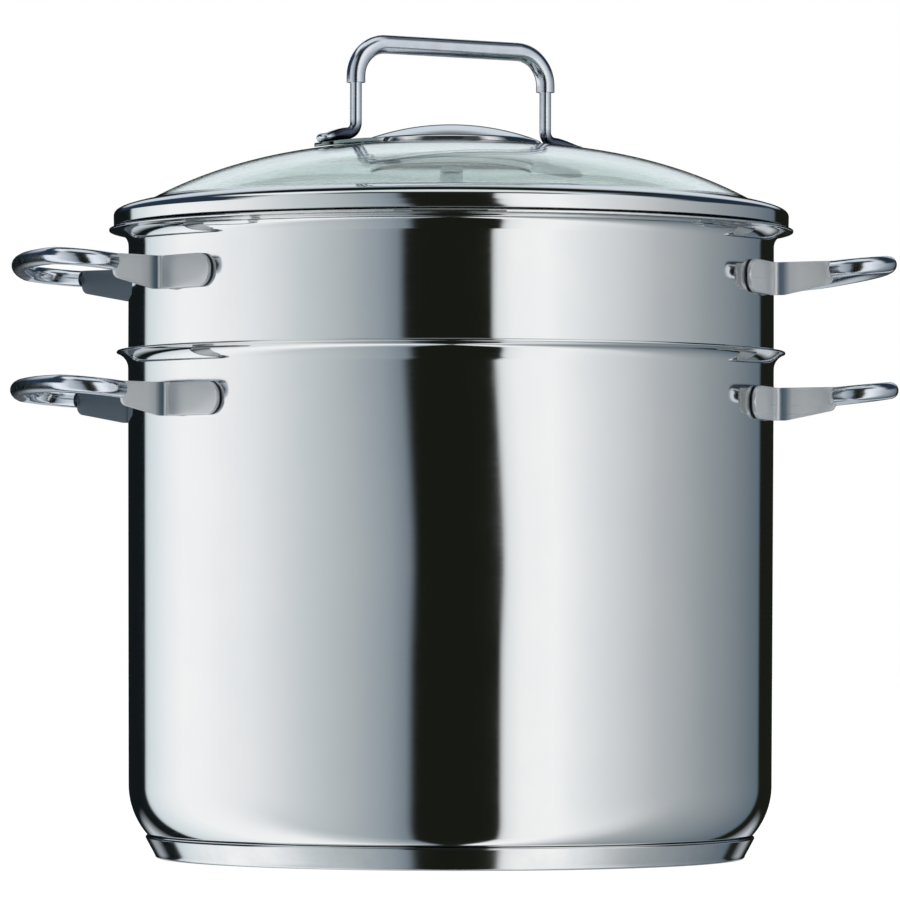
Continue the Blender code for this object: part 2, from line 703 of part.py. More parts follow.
def build_lid_cap(group, cutters, steel, frame):
    """The crowned cap over the strap, notched where the strap runs out under it."""
    foot = glass_height(CAP_RADIUS) + FIT
    round_radius, round_height, crown_radius = cap_plan()
    tangent_angle = acos(round_radius / (crown_radius - CAP_ROUND))
    crown_reach = crown_radius * cos(tangent_angle)
    profile = []
    for step in range(CROWN_STEPS):
        reach = crown_reach * step / CROWN_STEPS
        profile.append((reach, crown_height(reach)))
    edge = (round_radius, round_height, CAP_ROUND, tangent_angle, CAP_EDGE_ANGLE, CAP_ROUND_STEPS)
    profile += arc(*edge)
    profile.append((CAP_RADIUS, foot))
    cap = turned("lid_cap", profile, group, steel, frame, segments=SMALL_SEGMENTS)
    thicken(cap, CAP_SHEET)
    strap_top = GLASS_CENTRE_HEIGHT + FIT + LID_STRAP_THICKNESS
    bpy.ops.mesh.primitive_cube_add(size=1, location=(0, 0, foot))
    notch = bpy.context.object
    notch.name = "cap_notch"
    size = (2 * FOOT_REACH, LID_STRAP_WIDTH + 2 * FIT, 2 * (strap_top + FIT - foot), 1)
    notch.data.transform(Matrix.Diagonal(size))
    move_to(notch, cutters)
    notch.parent = frame
    cut(cap, notch)


def move_to(item, group):
    """Put an object in one collection only."""
    for owner in list(item.users_collection):
        owner.objects.unlink(item)
    group.objects.link(item)


def build_seal_ring(group, silicone, frame):
    """The sleeve in the hole of the glass, with a flange below it."""
    sleeve_radius = GLASS_HOLE_DIAMETER / 2 - FIT
    flange_top = GLASS_UNDERSIDE - FIT
    sleeve = [
        (sleeve_radius, GLASS_CENTRE_HEIGHT),
        (sleeve_radius, flange_top),
        (SEAL_DIAMETER / 2, flange_top),
        (SEAL_DIAMETER / 2, flange_top - SEAL_SHEET),
        (STUD_HOLE_RADIUS, flange_top - SEAL_SHEET),
        (STUD_HOLE_RADIUS, GLASS_CENTRE_HEIGHT),
    ]
    turned("lid_seal_ring", sleeve, group, silicone, frame, closed=True, segments=SMALL_SEGMENTS)


def build_cup(group, steel, frame):
    """The shallow cup under the glass, pulled up against it by the nut."""
    top = glass_height(CUP_RADIUS) - GLASS_THICKNESS - FIT
    bottom = GLASS_UNDERSIDE - CUP_DEPTH
    profile = [(CUP_RADIUS, top)]
    profile += arc(CUP_RADIUS - CUP_ROUND, bottom + CUP_ROUND, CUP_ROUND, 0, -pi / 2, 2)
    profile += [(STUD_HOLE_RADIUS, bottom)]
    cup = turned("lid_cup", profile, group, steel, frame, segments=SMALL_SEGMENTS)
    thicken(cup, CUP_SHEET)
    return bottom


def build_stud_and_nut(group, metal, frame, cup_bottom):
    """The stud welded under the cap, through strap and glass, and its nut."""
    nut_top = cup_bottom - FIT
    nut_bottom = nut_top - NUT_HEIGHT
    nut_radius = NUT_WIDTH / 2 / cos(pi / NUT_SIDES)
    thread_radius = STUD_HOLE_RADIUS / cos(pi / NUT_SIDES)
    nut = [
        (nut_radius, nut_top),
        (nut_radius, nut_bottom),
        (thread_radius, nut_bottom),
        (thread_radius, nut_top),
    ]
    hexagon = turned("lid_nut", nut, group, metal, frame, closed=True, segments=NUT_SIDES)
    hexagon.modifiers["Turn"].use_smooth_shade = False
    head_radius = STUD_HEAD_DIAMETER / 2
    head_top = crown_height(head_radius) - CAP_SHEET - FIT
    tail = nut_bottom - STUD_TAIL
    stud = [
        (0, head_top),
        (head_radius, head_top),
        (head_radius, head_top - STUD_HEAD_HEIGHT),
        (STUD_RADIUS, head_top - STUD_HEAD_HEIGHT),
        (STUD_RADIUS, tail),
        (0, tail),
    ]
    turned("lid_stud", stud, group, metal, frame, segments=STUD_SEGMENTS)


def build_lid_fittings(group, cutters, looks, frame):
    """Strap, cap, seal ring, cup, stud and nut, all in the handle's frame."""
    strap = build_lid_strap(group, looks["steel"], frame)
    strap_bottom = GLASS_CENTRE_HEIGHT + FIT
    high = strap_bottom + LID_STRAP_THICKNESS + OVERRUN
    low = strap_bottom - OVERRUN
    drill_profile = [(0, high), (STUD_HOLE_RADIUS, high), (STUD_HOLE_RADIUS, low), (0, low)]
    drill = turned("strap_drill", drill_profile, cutters, None, frame, segments=STUD_SEGMENTS)
    cut(strap, drill)
    build_lid_cap(group, cutters, looks["steel"], frame)
    build_seal_ring(group, looks["silicone"], frame)
    cup_bottom = build_cup(group, looks["steel"], frame)
    build_stud_and_nut(group, looks["wire"], frame, cup_bottom)


def leg_stations():
    """Stations of one leg in the plane of the handle, from its flat foot to its top."""
    across = Vector((0, 1, 0))
    foot_half = FOOT_THICKNESS / 2
    heel_reach = LEG_REACH + LEG_BEND_RADIUS
    face = 2 * FIT + LID_STRAP_THICKNESS
    foot_end = FOOT_REACH - foot_half
    slope = (glass_height(heel_reach) - glass_height(foot_end)) / (foot_end - heel_reach)
    along_foot = Vector((-1, 0, slope)).normalized()
    stations = []
    for share in FOOT_SHARES:
        reach = foot_end + (heel_reach - foot_end) * share
        centre = Vector((reach, 0, glass_height(reach) + face + foot_half))
        half_width = FOOT_WIDTH / 2 * min(1, FOOT_END_WIDTH_SHARE + share)
        stations.append((centre, along_foot, across, half_width, foot_half, FOOT_SQUARENESS))
    heel_height = glass_height(heel_reach) + face + LEG_RADIUS
    bend = arc(heel_reach, heel_height + LEG_BEND_RADIUS, LEG_BEND_RADIUS, -pi / 2, -pi, BEND_STEPS)
    for step, (reach, height) in enumerate(bend):
        angle = pi * (1 - step / (2 * BEND_STEPS))
        heading = Vector((cos(angle), 0, sin(angle)))
        stations.append((Vector((reach, 0, height)), heading, across, LEG_RADIUS, LEG_RADIUS, 1))
    top = Vector((LEG_REACH, 0, LID_GRIP_END + LEG_TENON_LENGTH))
    stations.append((top, Vector((0, 0, 1)), across, LEG_RADIUS, LEG_RADIUS, 1))
    return stations


def build_lid_handle(group, cutters, material, frame):
    """Two wire legs with flattened feet and the thicker grip that they stand in."""
    rings = loft(leg_stations(), STRAP_SIDES)
    for name, side in (("front", -1), ("back", 1)):
        leg_name = "lid_leg_" + name
        mesh = rings_mesh(leg_name, mirrored(rings, side, 1))
        shade(add_object(leg_name, mesh, group, material, frame))
    build_lid_grip(group, cutters, material, frame)


def build_lid_grip(group, cutters, material, frame):
    """The grip: up from each leg, round a corner and across."""
    corner = LID_GRIP_CORNER_RADIUS
    corner_height = LID_GRIP_TOP - LID_GRIP_RADIUS - corner
    half = [(LEG_REACH, LID_GRIP_END)]
    half += arc(LEG_REACH - corner, corner_height, corner, 0, pi / 2, TURN_STEPS)
    outline = half + [(-reach, height) for reach, height in reversed(half)]
    points = [Vector((reach, 0, height)) for reach, height in outline]
    tube = tube_mesh("lid_grip", points, LID_GRIP_RADIUS, group, material, frame)
    bores = [Matrix.Translation(points[0]), Matrix.Translation(points[-1])]
    depth = 2 * (LEG_TENON_LENGTH + FIT)
    bore_radius = LID_GRIP_RADIUS - LID_GRIP_WALL
    bore = joined_prisms("lid_grip_bores", bores, bore_radius, depth, LID_BORE_SIDES, cutters)
    bore.parent = frame
    cut(tube, bore)


def main():
    """Build the whole pot."""
    clear_scene()
    group = new_collection("stainless steel pot")
    cutters = new_collection("cutters")
    looks = {
        "steel": new_material("polished steel", STEEL),
        "wire": new_material("bright steel tube", WIRE_STEEL),
        "base": new_material("base steel", BASE_STEEL),
        "aluminium": new_material("aluminium", ALUMINIUM),
        "glass": new_material("toughened glass", GLASS),
        "silicone": new_material("clear silicone", SILICONE),
    }
    build_pot_body(group, looks["steel"])
    build_base(group, looks["base"], looks["aluminium"])
    build_loop_handles("pot", POT_RIM_HEIGHT, group, cutters, looks["steel"], looks["wire"], None)
    insert = bpy.data.objects.new("insert_lift", None)
    group.objects.link(insert)
    insert.rotation_euler = (0, 0, INSERT_TURN)
    build_insert_body(group, cutters, looks["steel"], insert)
    build_loop_handles("insert", INSERT_RIM_HEIGHT, group, cutters, looks["steel"], looks["wire"], insert)
    lid = bpy.data.objects.new("lid_lift", None)
    group.objects.link(lid)
    lid.parent = insert
    build_lid(group, cutters, looks, lid)
    bpy.context.view_layer.update()


main()
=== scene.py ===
"""Looks of a tall stainless steel pot with a lift-out strainer insert and a domed glass lid.

Metres, +Z up. The sizes are those of the part's own solids, and each piece stands for one of them.
"""

import json
import logging
from contextlib import contextmanager
from dataclasses import dataclass, field
from enum import Enum
from math import atan2, cos, degrees, pi, radians, sin, sqrt, tau
from typing import Any, Callable, Iterator, Sequence

import bmesh
import bpy
from mathutils import Matrix, Vector


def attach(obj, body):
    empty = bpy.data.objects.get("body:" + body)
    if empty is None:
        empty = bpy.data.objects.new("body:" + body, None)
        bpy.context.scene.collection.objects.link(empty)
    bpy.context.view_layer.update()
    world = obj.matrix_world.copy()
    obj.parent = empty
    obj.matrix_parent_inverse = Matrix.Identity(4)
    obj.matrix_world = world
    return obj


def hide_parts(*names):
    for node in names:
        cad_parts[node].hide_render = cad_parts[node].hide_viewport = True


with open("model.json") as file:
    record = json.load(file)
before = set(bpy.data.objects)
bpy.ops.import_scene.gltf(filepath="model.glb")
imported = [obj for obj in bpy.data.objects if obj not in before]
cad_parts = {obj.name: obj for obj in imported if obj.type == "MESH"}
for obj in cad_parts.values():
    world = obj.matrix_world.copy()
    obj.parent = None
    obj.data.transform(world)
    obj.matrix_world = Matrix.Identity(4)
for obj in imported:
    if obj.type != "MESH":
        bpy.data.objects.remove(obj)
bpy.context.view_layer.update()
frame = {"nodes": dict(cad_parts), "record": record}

LOG = logging.getLogger("pot")
Point = tuple[float, float]

# The gap that stands in for contact, and the angle in degrees at which the insert was put down
FIT = 0.0003
INSERT_TURN = -2.2


class Side(Enum):
    """Which loop handle a piece belongs to, as its sign along X."""

    LEFT = -1
    RIGHT = 1


class End(Enum):
    """Which end of a handle a piece is at, as its sign along Y or along the lid's handle."""

    FRONT = -1
    BACK = 1


# Modelling moves


def clear_selection() -> None:
    """Leave edit mode and deselect every object."""
    if bpy.context.object and bpy.context.object.mode != "OBJECT":
        bpy.ops.object.mode_set(mode="OBJECT")
    bpy.ops.object.select_all(action="DESELECT")


def select_only(piece: bpy.types.Object) -> None:
    """Make one object the selected and the active one."""
    clear_selection()
    piece.select_set(True)
    bpy.context.view_layer.objects.active = piece


@contextmanager
def editing(piece: bpy.types.Object) -> Iterator[None]:
    """Work on a piece in edit mode with all of it selected, and leave edit mode at the end.

    Args:
        piece: The mesh object to shape.
    """
    select_only(piece)
    bpy.ops.object.mode_set(mode="EDIT")
    bpy.context.tool_settings.mesh_select_mode = (True, False, False)
    bpy.ops.mesh.select_all(action="SELECT")
    yield
    bpy.ops.object.mode_set(mode="OBJECT")


def pick(piece: bpy.types.Object, what: str, test: Callable[[Any], bool]) -> int:
    """Select the faces, edges or vertices of a piece in edit mode that pass a test.

    Args:
        piece: The mesh object in edit mode.
        what: "faces", "edges" or "verts".
        test: Takes one element and says whether it is wanted.

    Returns:
        How many elements are selected.
    """
    bpy.context.tool_settings.mesh_select_mode = (what == "verts", what == "edges", what == "faces")
    bpy.ops.mesh.select_all(action="DESELECT")
    work = bmesh.from_edit_mesh(piece.data)
    wanted = [item for item in getattr(work, what) if test(item)]
    for item in wanted:
        item.select_set(True)
    bmesh.update_edit_mesh(piece.data)
    return len(wanted)


def face_outwards(piece: bpy.types.Object) -> None:
    """Join doubles in edit mode and turn every face outwards, also on an open shell.

    Args:
        piece: The mesh object in edit mode.
    """
    bpy.ops.mesh.select_all(action="SELECT")
    bpy.ops.mesh.remove_doubles(threshold=0.000002)
    bpy.ops.mesh.normals_make_consistent(inside=False)
    work = bmesh.from_edit_mesh(piece.data)
    middle = sum((face.calc_center_median() for face in work.faces), Vector()) / len(work.faces)
    outward = sum(
        face.calc_area() * face.normal.dot(face.calc_center_median() - middle) for face in work.faces
    )
    if outward < 0:
        bpy.ops.mesh.flip_normals()


def apply_modifier(piece: bpy.types.Object, kind: str, **settings: Any) -> None:
    """Add a modifier to a piece and apply it.

    Args:
        piece: The object that takes the modifier.
        kind: The modifier's type, such as "SOLIDIFY".
        **settings: The modifier's settings by name.
    """
    select_only(piece)
    modifier = piece.modifiers.new(kind.title(), kind)
    for name, value in settings.items():
        setattr(modifier, name, value)
    bpy.ops.object.modifier_apply(modifier=modifier.name)


def thicken(piece: bpy.types.Object, wall: float) -> None:
    """Give an open shell its wall, inwards from its outer face."""
    apply_modifier(piece, "SOLIDIFY", thickness=wall, offset=-1, use_even_offset=True)


def round_edges(piece: bpy.types.Object, width: float, angle: float = 40, segments: int = 3) -> None:
    """Round the sharp edges of a piece.

    Args:
        piece: The mesh object.
        width: Width of the rounding.
        angle: Edges sharper than this many degrees are rounded.
        segments: Faces across the rounding.
    """
    apply_modifier(
        piece,
        "BEVEL",
        width=width,
        segments=segments,
        limit_method="ANGLE",
        angle_limit=radians(angle),
        use_clamp_overlap=True,
        harden_normals=False,
    )


def smooth(piece: bpy.types.Object, angle: float = 32) -> None:
    """Shade a piece smooth, with edges above an angle in degrees left sharp and its broad faces flat."""
    select_only(piece)
    bpy.ops.object.shade_smooth_by_angle(angle=radians(angle))
    apply_modifier(piece, "WEIGHTED_NORMAL", mode="FACE_AREA", weight=50, keep_sharp=True)


def cut_out(piece: bpy.types.Object, cutter: bpy.types.Object) -> None:
    """Cut a piece with another one, which is then thrown away."""
    apply_modifier(piece, "BOOLEAN", operation="DIFFERENCE", solver="EXACT", object=cutter)
    bpy.data.objects.remove(cutter, do_unlink=True)


def copy_of(piece: bpy.types.Object, name: str) -> bpy.types.Object:
    """Copy a piece, with a mesh of its own.

    Args:
        piece: The object to copy.
        name: Name of the copy.

    Returns:
        The copy, selected and active.
    """
    select_only(piece)
    bpy.ops.object.duplicate(linked=False)
    made = bpy.context.object
    made.name = name
    made.data.name = name
    return made


def placed(
    piece: bpy.types.Object, turn: float = 0.0, lift: float = 0.0, flip: tuple[int, int] = (1, 1)
) -> bpy.types.Object:
    """Flip, turn about Z and lift a piece in its mesh.

    Args:
        piece: The object to move.
        turn: Angle about Z in radians.
        lift: How far up it goes.
        flip: -1 for X or Y mirrors the piece across that axis.

    Returns:
        The same object, still at the origin.
    """
    with editing(piece):
        if flip != (1, 1):
            bpy.ops.transform.resize(value=(flip[0], flip[1], 1), center_override=(0, 0, 0))
            if flip[0] * flip[1] < 0:
                bpy.ops.mesh.flip_normals()
        if turn:
            bpy.ops.transform.rotate(value=-turn, orient_axis="Z", center_override=(0, 0, 0))
        if lift:
            bpy.ops.transform.translate(value=(0, 0, lift))
    return piece


def arc(centre: Point, radius: float, start: float, end: float, steps: int) -> list[Point]:
    """Points along an arc of a profile.

    Args:
        centre: Radius and height of the arc's centre.
        radius: The arc's radius.
        start: First angle in degrees, 0 pointing outwards and 90 up.
        end: Last angle in degrees.
        steps: Number of chords.

    Returns:
        The points, both ends included.
    """
    angles = [radians(start + (end - start) * step / steps) for step in range(steps + 1)]
    return [(centre[0] + radius * cos(angle), centre[1] + radius * sin(angle)) for angle in angles]


def blend(first: Point, corner: Point, last: Point, steps: int) -> list[Point]:
    """Points along a soft bend from one point to another, pulled towards a corner."""
    shares = [step / steps for step in range(steps + 1)]
    return [
        tuple((1 - s) ** 2 * a + 2 * s * (1 - s) * b + s * s * c for a, b, c in zip(first, corner, last))
        for s in shares
    ]


def supported(profile: Sequence[Point], near: float = 0.0012) -> list[Point]:
    """Add a point close to each end of the long straight runs, so that they stay even in a mirror finish.

    Args:
        profile: The points of a profile.
        near: How far from a run's ends the points go.

    Returns:
        The profile with the points added.
    """
    made = [profile[0]]
    for first, last in zip(profile, profile[1:]):
        length = sqrt((last[0] - first[0]) ** 2 + (last[1] - first[1]) ** 2)
        if length > 3 * near:
            for share in (near / length, 1 - near / length):
                made.append(tuple(a + (b - a) * share for a, b in zip(first, last)))
        made.append(last)
    return made


def turned(name: str, profile: Sequence[Point], steps: int = 180, closed: bool = False) -> bpy.types.Object:
    """Turn a profile about Z, from a plane drawn together to a point and led along the profile.

    Args:
        name: Name of the new object.
        profile: (radius, height) points.
        steps: Faces round the piece.
        closed: Whether the profile runs back to its first point.

    Returns:
        The new object, a shell, or a solid where the profile is closed.
    """
    line = list(profile) + ([profile[0]] if closed else [])
    clear_selection()
    bpy.ops.mesh.primitive_plane_add(size=0.001, location=(0, 0, 0))
    piece = bpy.context.object
    piece.name = name
    piece.data.name = name
    with editing(piece):
        bpy.ops.mesh.merge(type="CENTER")
        bpy.ops.transform.translate(value=(line[0][0], 0, line[0][1]))
        for first, last in zip(line, line[1:]):
            step = (last[0] - first[0], 0, last[1] - first[1])
            bpy.ops.mesh.extrude_vertices_move(TRANSFORM_OT_translate={"value": step})
        bpy.ops.mesh.select_all(action="SELECT")
        bpy.ops.mesh.remove_doubles(threshold=0.000002)
        bpy.ops.mesh.select_all(action="SELECT")
        bpy.ops.mesh.spin(steps=steps, angle=tau, center=(0, 0, 0), axis=(0, 0, 1))
        face_outwards(piece)
    return piece


def block(name: str, size: tuple[float, float, float], height: float = 0.0) -> bpy.types.Object:
    """Make a block with its middle on the axis.

    Args:
        name: Name of the new object.
        size: Its lengths along X, Y and Z.
        height: Height of its middle.

    Returns:
        The block, selected and active.
    """
    clear_selection()
    bpy.ops.mesh.primitive_cube_add(size=1, location=(0, 0, height))
    piece = bpy.context.object
    piece.name = name
    bpy.ops.transform.resize(value=size)
    bpy.ops.object.transform_apply(location=True, rotation=False, scale=True)
    return piece


def rod(name: str, radius: float, length: float, height: float, sides: int) -> bpy.types.Object:
    """Make an upright rod on the axis, such as a drill.

    Args:
        name: Name of the new object.
        radius: The rod's radius, to its corners.
        length: The rod's length.
        height: Height of its middle.
        sides: Faces round it.

    Returns:
        The rod, selected and active.
    """
    clear_selection()
    bpy.ops.mesh.primitive_cylinder_add(
        vertices=sides, radius=radius, depth=length, location=(0, 0, height)
    )
    piece = bpy.context.object
    piece.name = name
    bpy.ops.object.transform_apply(location=True, rotation=False, scale=False)
    return piece


def guide_curve(path: Sequence[Vector], dimensions: str) -> bpy.types.Object:
    """Draw a curve from point to point.

    Args:
        path: The points.
        dimensions: "2D" for a curve in plan, or "3D".

    Returns:
        The curve, selected and active.
    """
    clear_selection()
    bpy.ops.curve.primitive_bezier_curve_add(location=(0, 0, 0))
    guide = bpy.context.object
    guide.data.splines.clear()
    run = guide.data.splines.new("POLY")
    run.points.add(len(path) - 1)
    for target, point in zip(run.points, path):
        target.co = (*point, 1)
    guide.data.dimensions = dimensions
    return guide


def tube(name: str, path: Sequence[Vector], radius: float, sides: int = 24) -> bpy.types.Object:
    """Draw a round bar along a path.

    Args:
        name: Name of the new object.
        path: Points of the bar's middle line.
        radius: The bar's radius.
        sides: Faces round it, in fours.

    Returns:
        The bar as a mesh object with flat ends.
    """
    line = guide_curve(path, "3D").data
    line.twist_mode = "MINIMUM"
    line.bevel_depth = radius
    line.bevel_resolution = sides // 4
    line.use_fill_caps = True
    bpy.ops.object.convert(target="MESH")
    piece = bpy.context.object
    piece.name = name
    piece.data.name = name
    with editing(piece):
        face_outwards(piece)
    return piece


# Finishes


def linear(value: str) -> tuple[float, float, float, float]:
    """Turn an sRGB hex colour into a linear one.

    Args:
        value: Six hex digits, with or without a hash.

    Returns:
        Red, green, blue and an alpha of 1.
    """
    digits = value.lstrip("#")
    parts = [int(digits[index:index + 2], 16) / 255 for index in (0, 2, 4)]
    red, green, blue = [
        part / 12.92 if part <= 0.04045 else ((part + 0.055) / 1.055) ** 2.4 for part in parts
    ]
    return red, green, blue, 1.0


def node(
    tree: bpy.types.NodeTree, kind: str, settings: dict[Any, Any], links: dict[Any, Any]
) -> bpy.types.Node:
    """Add a node with its settings and its links.

    Args:
        tree: The node tree that takes the node.
        kind: The node's type name.
        settings: Attributes by name, input values by the input's name or index, and under "stops" a
            colour ramp's pairs of a position and a linear colour or grey value.
        links: Output sockets of other nodes by input name or index.

    Returns:
        The new node.
    """
    made = tree.nodes.new(kind)
    for name, value in settings.items():
        if name == "stops":
            elements = made.color_ramp.elements
            while len(elements) < len(value):
                elements.new(0.5)
            for element, (position, _) in zip(elements, value):
                element.position = position
            for element, (_, tone) in zip(elements, value):
                element.color = tone if isinstance(tone, tuple) else (tone, tone, tone, 1)
        elif isinstance(name, str) and hasattr(made, name):
            setattr(made, name, value)
        else:
            made.inputs[name].default_value = value
    for name, socket in links.items():
        tree.links.new(socket, made.inputs[name])
    return made


def axis_distance(tree: bpy.types.NodeTree, place: Any) -> Any:
    """Measure how far a point on a piece is from the pot's axis.

    Args:
        tree: The material's node tree.
        place: The socket that gives the point.

    Returns:
        The distance as a socket.
    """
    level = node(tree, "ShaderNodeVectorMath", {"operation": "MULTIPLY", 1: (1, 1, 0)}, {0: place})
    return node(
        tree, "ShaderNodeVectorMath", {"operation": "LENGTH"}, {0: level.outputs["Vector"]}
    ).outputs["Value"]


def seen_straight(tree: bpy.types.NodeTree) -> Any:
    """Tell what the camera sees straight or through glass from what is seen in a mirror or lights a piece.

    Args:
        tree: The node tree of a material or of the world.

    Returns:
        The answer as a socket, 1 or 0.
    """
    path = node(tree, "ShaderNodeLightPath", {}, {}).outputs
    return node(
        tree, "ShaderNodeMath", {"operation": "MAXIMUM"},
        {0: path["Is Camera Ray"], 1: path["Is Transmission Ray"]},
    ).outputs["Value"]


class Finish:
    """What the finishes share: how a material is started, and how its shader is set and tinted."""

    name: str

    def begin(self) -> tuple[bpy.types.Material, bpy.types.NodeTree, Any]:
        """Start the material.

        Returns:
            The material, its node tree, and the socket with the place that its patterns read.
        """
        material = bpy.data.materials.new(self.name)
        material.use_nodes = True
        tree = material.node_tree
        return material, tree, node(tree, "ShaderNodeTexCoord", {}, {}).outputs["Object"]

    @staticmethod
    def set_shader(tree: bpy.types.NodeTree, values: dict[str, float], links: dict[str, Any]) -> None:
        """Set some of the shader's inputs and link others.

        Args:
            tree: The material's node tree.
            values: Constants by input name.
            links: Sockets by input name.
        """
        shader = tree.nodes["Principled BSDF"]
        for name, value in values.items():
            shader.inputs[name].default_value = value
        for name, socket in links.items():
            tree.links.new(socket, shader.inputs[name])

    @staticmethod
    def tint_over(tree: bpy.types.NodeTree, colour: str, amount: Any) -> None:
        """Lay a colour over the shader's base colour.

        Args:
            tree: The material's node tree.
            colour: The colour as sRGB hex.
            amount: The socket that says how much of it covers.
        """
        base = tree.nodes["Principled BSDF"].inputs["Base Color"]
        both = node(
            tree, "ShaderNodeMixRGB", {"Color2": linear(colour)},
            {"Fac": amount, "Color1": base.links[0].from_socket},
        )
        tree.links.new(both.outputs["Color"], base)


@dataclass(frozen=True)
class PolishedSteel(Finish):
    """Stainless steel sheet, spun or press-formed and then buffed: a clear mirror with faint buffing lines.

    The lines run round the pot. They are 0.3 to 0.6 mm apart, drawn that coarse so that they show.
    """

    name: str = "buffed stainless sheet"
    colour: str = "E1E2E2"
    tint: str = "DEE0E1"
    roughness: float = 0.05
    roughness_spread: float = 0.03
    mirror: float = 1.0
    line_pitch: float = 0.0005
    line_depth: float = 0.000001
    line_waves: float = 6.0
    cloud_scale: float = 38.0

    def material(self) -> bpy.types.Material:
        """Make the material."""
        material, tree, place = self.begin()
        flat = (self.line_waves, self.line_waves, 1 / self.line_pitch)
        stretched = node(tree, "ShaderNodeMapping", {"Scale": flat}, {"Vector": place}).outputs["Vector"]
        lines = node(
            tree, "ShaderNodeTexNoise", {"Scale": 1.0, "Detail": 3.0, "Roughness": 0.6},
            {"Vector": stretched},
        ).outputs["Fac"]
        clouds = node(
            tree, "ShaderNodeTexNoise", {"Scale": self.cloud_scale, "Detail": 4.0, "Roughness": 0.62},
            {"Vector": place},
        ).outputs["Fac"]
        tones = [(0.3, linear(self.tint)), (0.62, linear(self.colour))]
        tone = node(tree, "ShaderNodeValToRGB", {"stops": tones}, {"Fac": clouds}).outputs["Color"]
        both = node(
            tree, "ShaderNodeMath", {"operation": "MULTIPLY"}, {0: lines, 1: clouds}
        ).outputs["Value"]
        rough = node(
            tree, "ShaderNodeMapRange",
            {"From Min": 0.12, "From Max": 0.42, "To Min": self.roughness,
             "To Max": self.roughness + self.roughness_spread},
            {"Value": both},
        ).outputs["Result"]
        bump = node(
            tree, "ShaderNodeBump", {"Strength": 0.35, "Distance": self.line_depth}, {"Height": lines}
        ).outputs["Normal"]
        self.set_shader(
            tree, {"Metallic": self.mirror}, {"Base Color": tone, "Roughness": rough, "Normal": bump}
        )
        return material


@dataclass(frozen=True)
class StrapSteel(PolishedSteel):
    """The handles' straps: satin, with painted shade inside and a painted dark-blue reflection at the fold.

    The blasted satin scatters most of its light, so the shader mirrors only a part of it. The finish
    reads the attribute "flat": a point's place on the strap before folding, along, through and up.
    """

    name: str = "satin strap steel"
    colour: str = "FAFBFC"
    tint: str = "F4F6F7"
    roughness: float = 0.27
    roughness_spread: float = 0.06
    mirror: float = 0.3
    # Painted shade: a dark blue-grey laid over the strap's inner face, which lies in shade
    painted_shade: str = "5F6D79"
    painted_shade_from: float = -0.0002
    painted_shade_to: float = -0.0007
    # Painted reflection: a dark blue laid over the end of the fold and the start of the strap, as the bend
    # mirrors it
    dark_tone: str = "2A5A74"
    fold_end: float = 0.0305
    painted_reflection_reach: float = 0.0105

    def material(self) -> bpy.types.Material:
        """Make the material."""
        material = super().material()
        tree = material.node_tree
        flat = node(tree, "ShaderNodeAttribute", {"attribute_name": "flat"}, {}).outputs["Vector"]
        parts = node(tree, "ShaderNodeSeparateXYZ", {}, {"Vector": flat}).outputs
        # Painted reflection of the bend: dark blue that rises past the fold's end and fades along the strap
        along = node(
            tree, "ShaderNodeMapRange",
            {"From Min": self.fold_end, "From Max": self.fold_end + self.painted_reflection_reach},
            {"Value": parts["X"]},
        ).outputs["Result"]
        fading = [(0.0, 0.0), (0.14, 0.9), (0.3, 0.8), (0.55, 0.15), (1.0, 0.0)]
        darkening = node(tree, "ShaderNodeValToRGB", {"stops": fading}, {"Fac": along}).outputs["Color"]
        # Painted shade over the strap's inner face
        inside = node(
            tree, "ShaderNodeMapRange", {"From Min": self.painted_shade_from, "From Max": self.painted_shade_to},
            {"Value": parts["Y"]},
        ).outputs["Result"]
        self.tint_over(tree, self.dark_tone, darkening)
        self.tint_over(tree, self.painted_shade, inside)
        return material


@dataclass(frozen=True)
class WeldedStrip(PolishedSteel):
    """The lid's strip: buffed, and darker out beyond the cap, under the feet of the handle."""

    name: str = "welded stainless strip"
    dark_tone: str = "7C8B8C"
    plain_inside: float = 0.033
    darker_outside: float = 0.037

    def material(self) -> bpy.types.Material:
        """Make the material."""
        material = super().material()
        tree = material.node_tree
        place = node(tree, "ShaderNodeTexCoord", {}, {}).outputs["Object"]
        darkening = node(
            tree, "ShaderNodeMapRange",
            {"From Min": self.plain_inside, "From Max": self.darker_outside},
            {"Value": axis_distance(tree, place)},
        ).outputs["Result"]
        self.tint_over(tree, self.dark_tone, darkening)
        return material


@dataclass(frozen=True)
class DrawnSteel(Finish):
    """Stainless tube and rod, drawn and then buffed on a wheel: bright, softer than the sheet's mirror."""

    name: str = "buffed stainless tube"
    colour: str = "DADFE6"
    tint: str = "D1D7DF"
    roughness: float = 0.16
    roughness_spread: float = 0.03
    cloud: float = 0.007

    def material(self) -> bpy.types.Material:
        """Make the material."""
        material, tree, place = self.begin()
        clouds = node(
            tree, "ShaderNodeTexNoise", {"Scale": 1 / self.cloud, "Detail": 2.0}, {"Vector": place}
        ).outputs["Fac"]
        tones = [(0.35, linear(self.tint)), (0.6, linear(self.colour))]
        tone = node(tree, "ShaderNodeValToRGB", {"stops": tones}, {"Fac": clouds}).outputs["Color"]
        rough = node(
            tree, "ShaderNodeMapRange",
            {"From Min": 0.35, "From Max": 0.65, "To Min": self.roughness,
             "To Max": self.roughness + self.roughness_spread},
            {"Value": clouds},
        ).outputs["Result"]
        self.set_shader(tree, {"Metallic": 1.0}, {"Base Color": tone, "Roughness": rough})
        return material


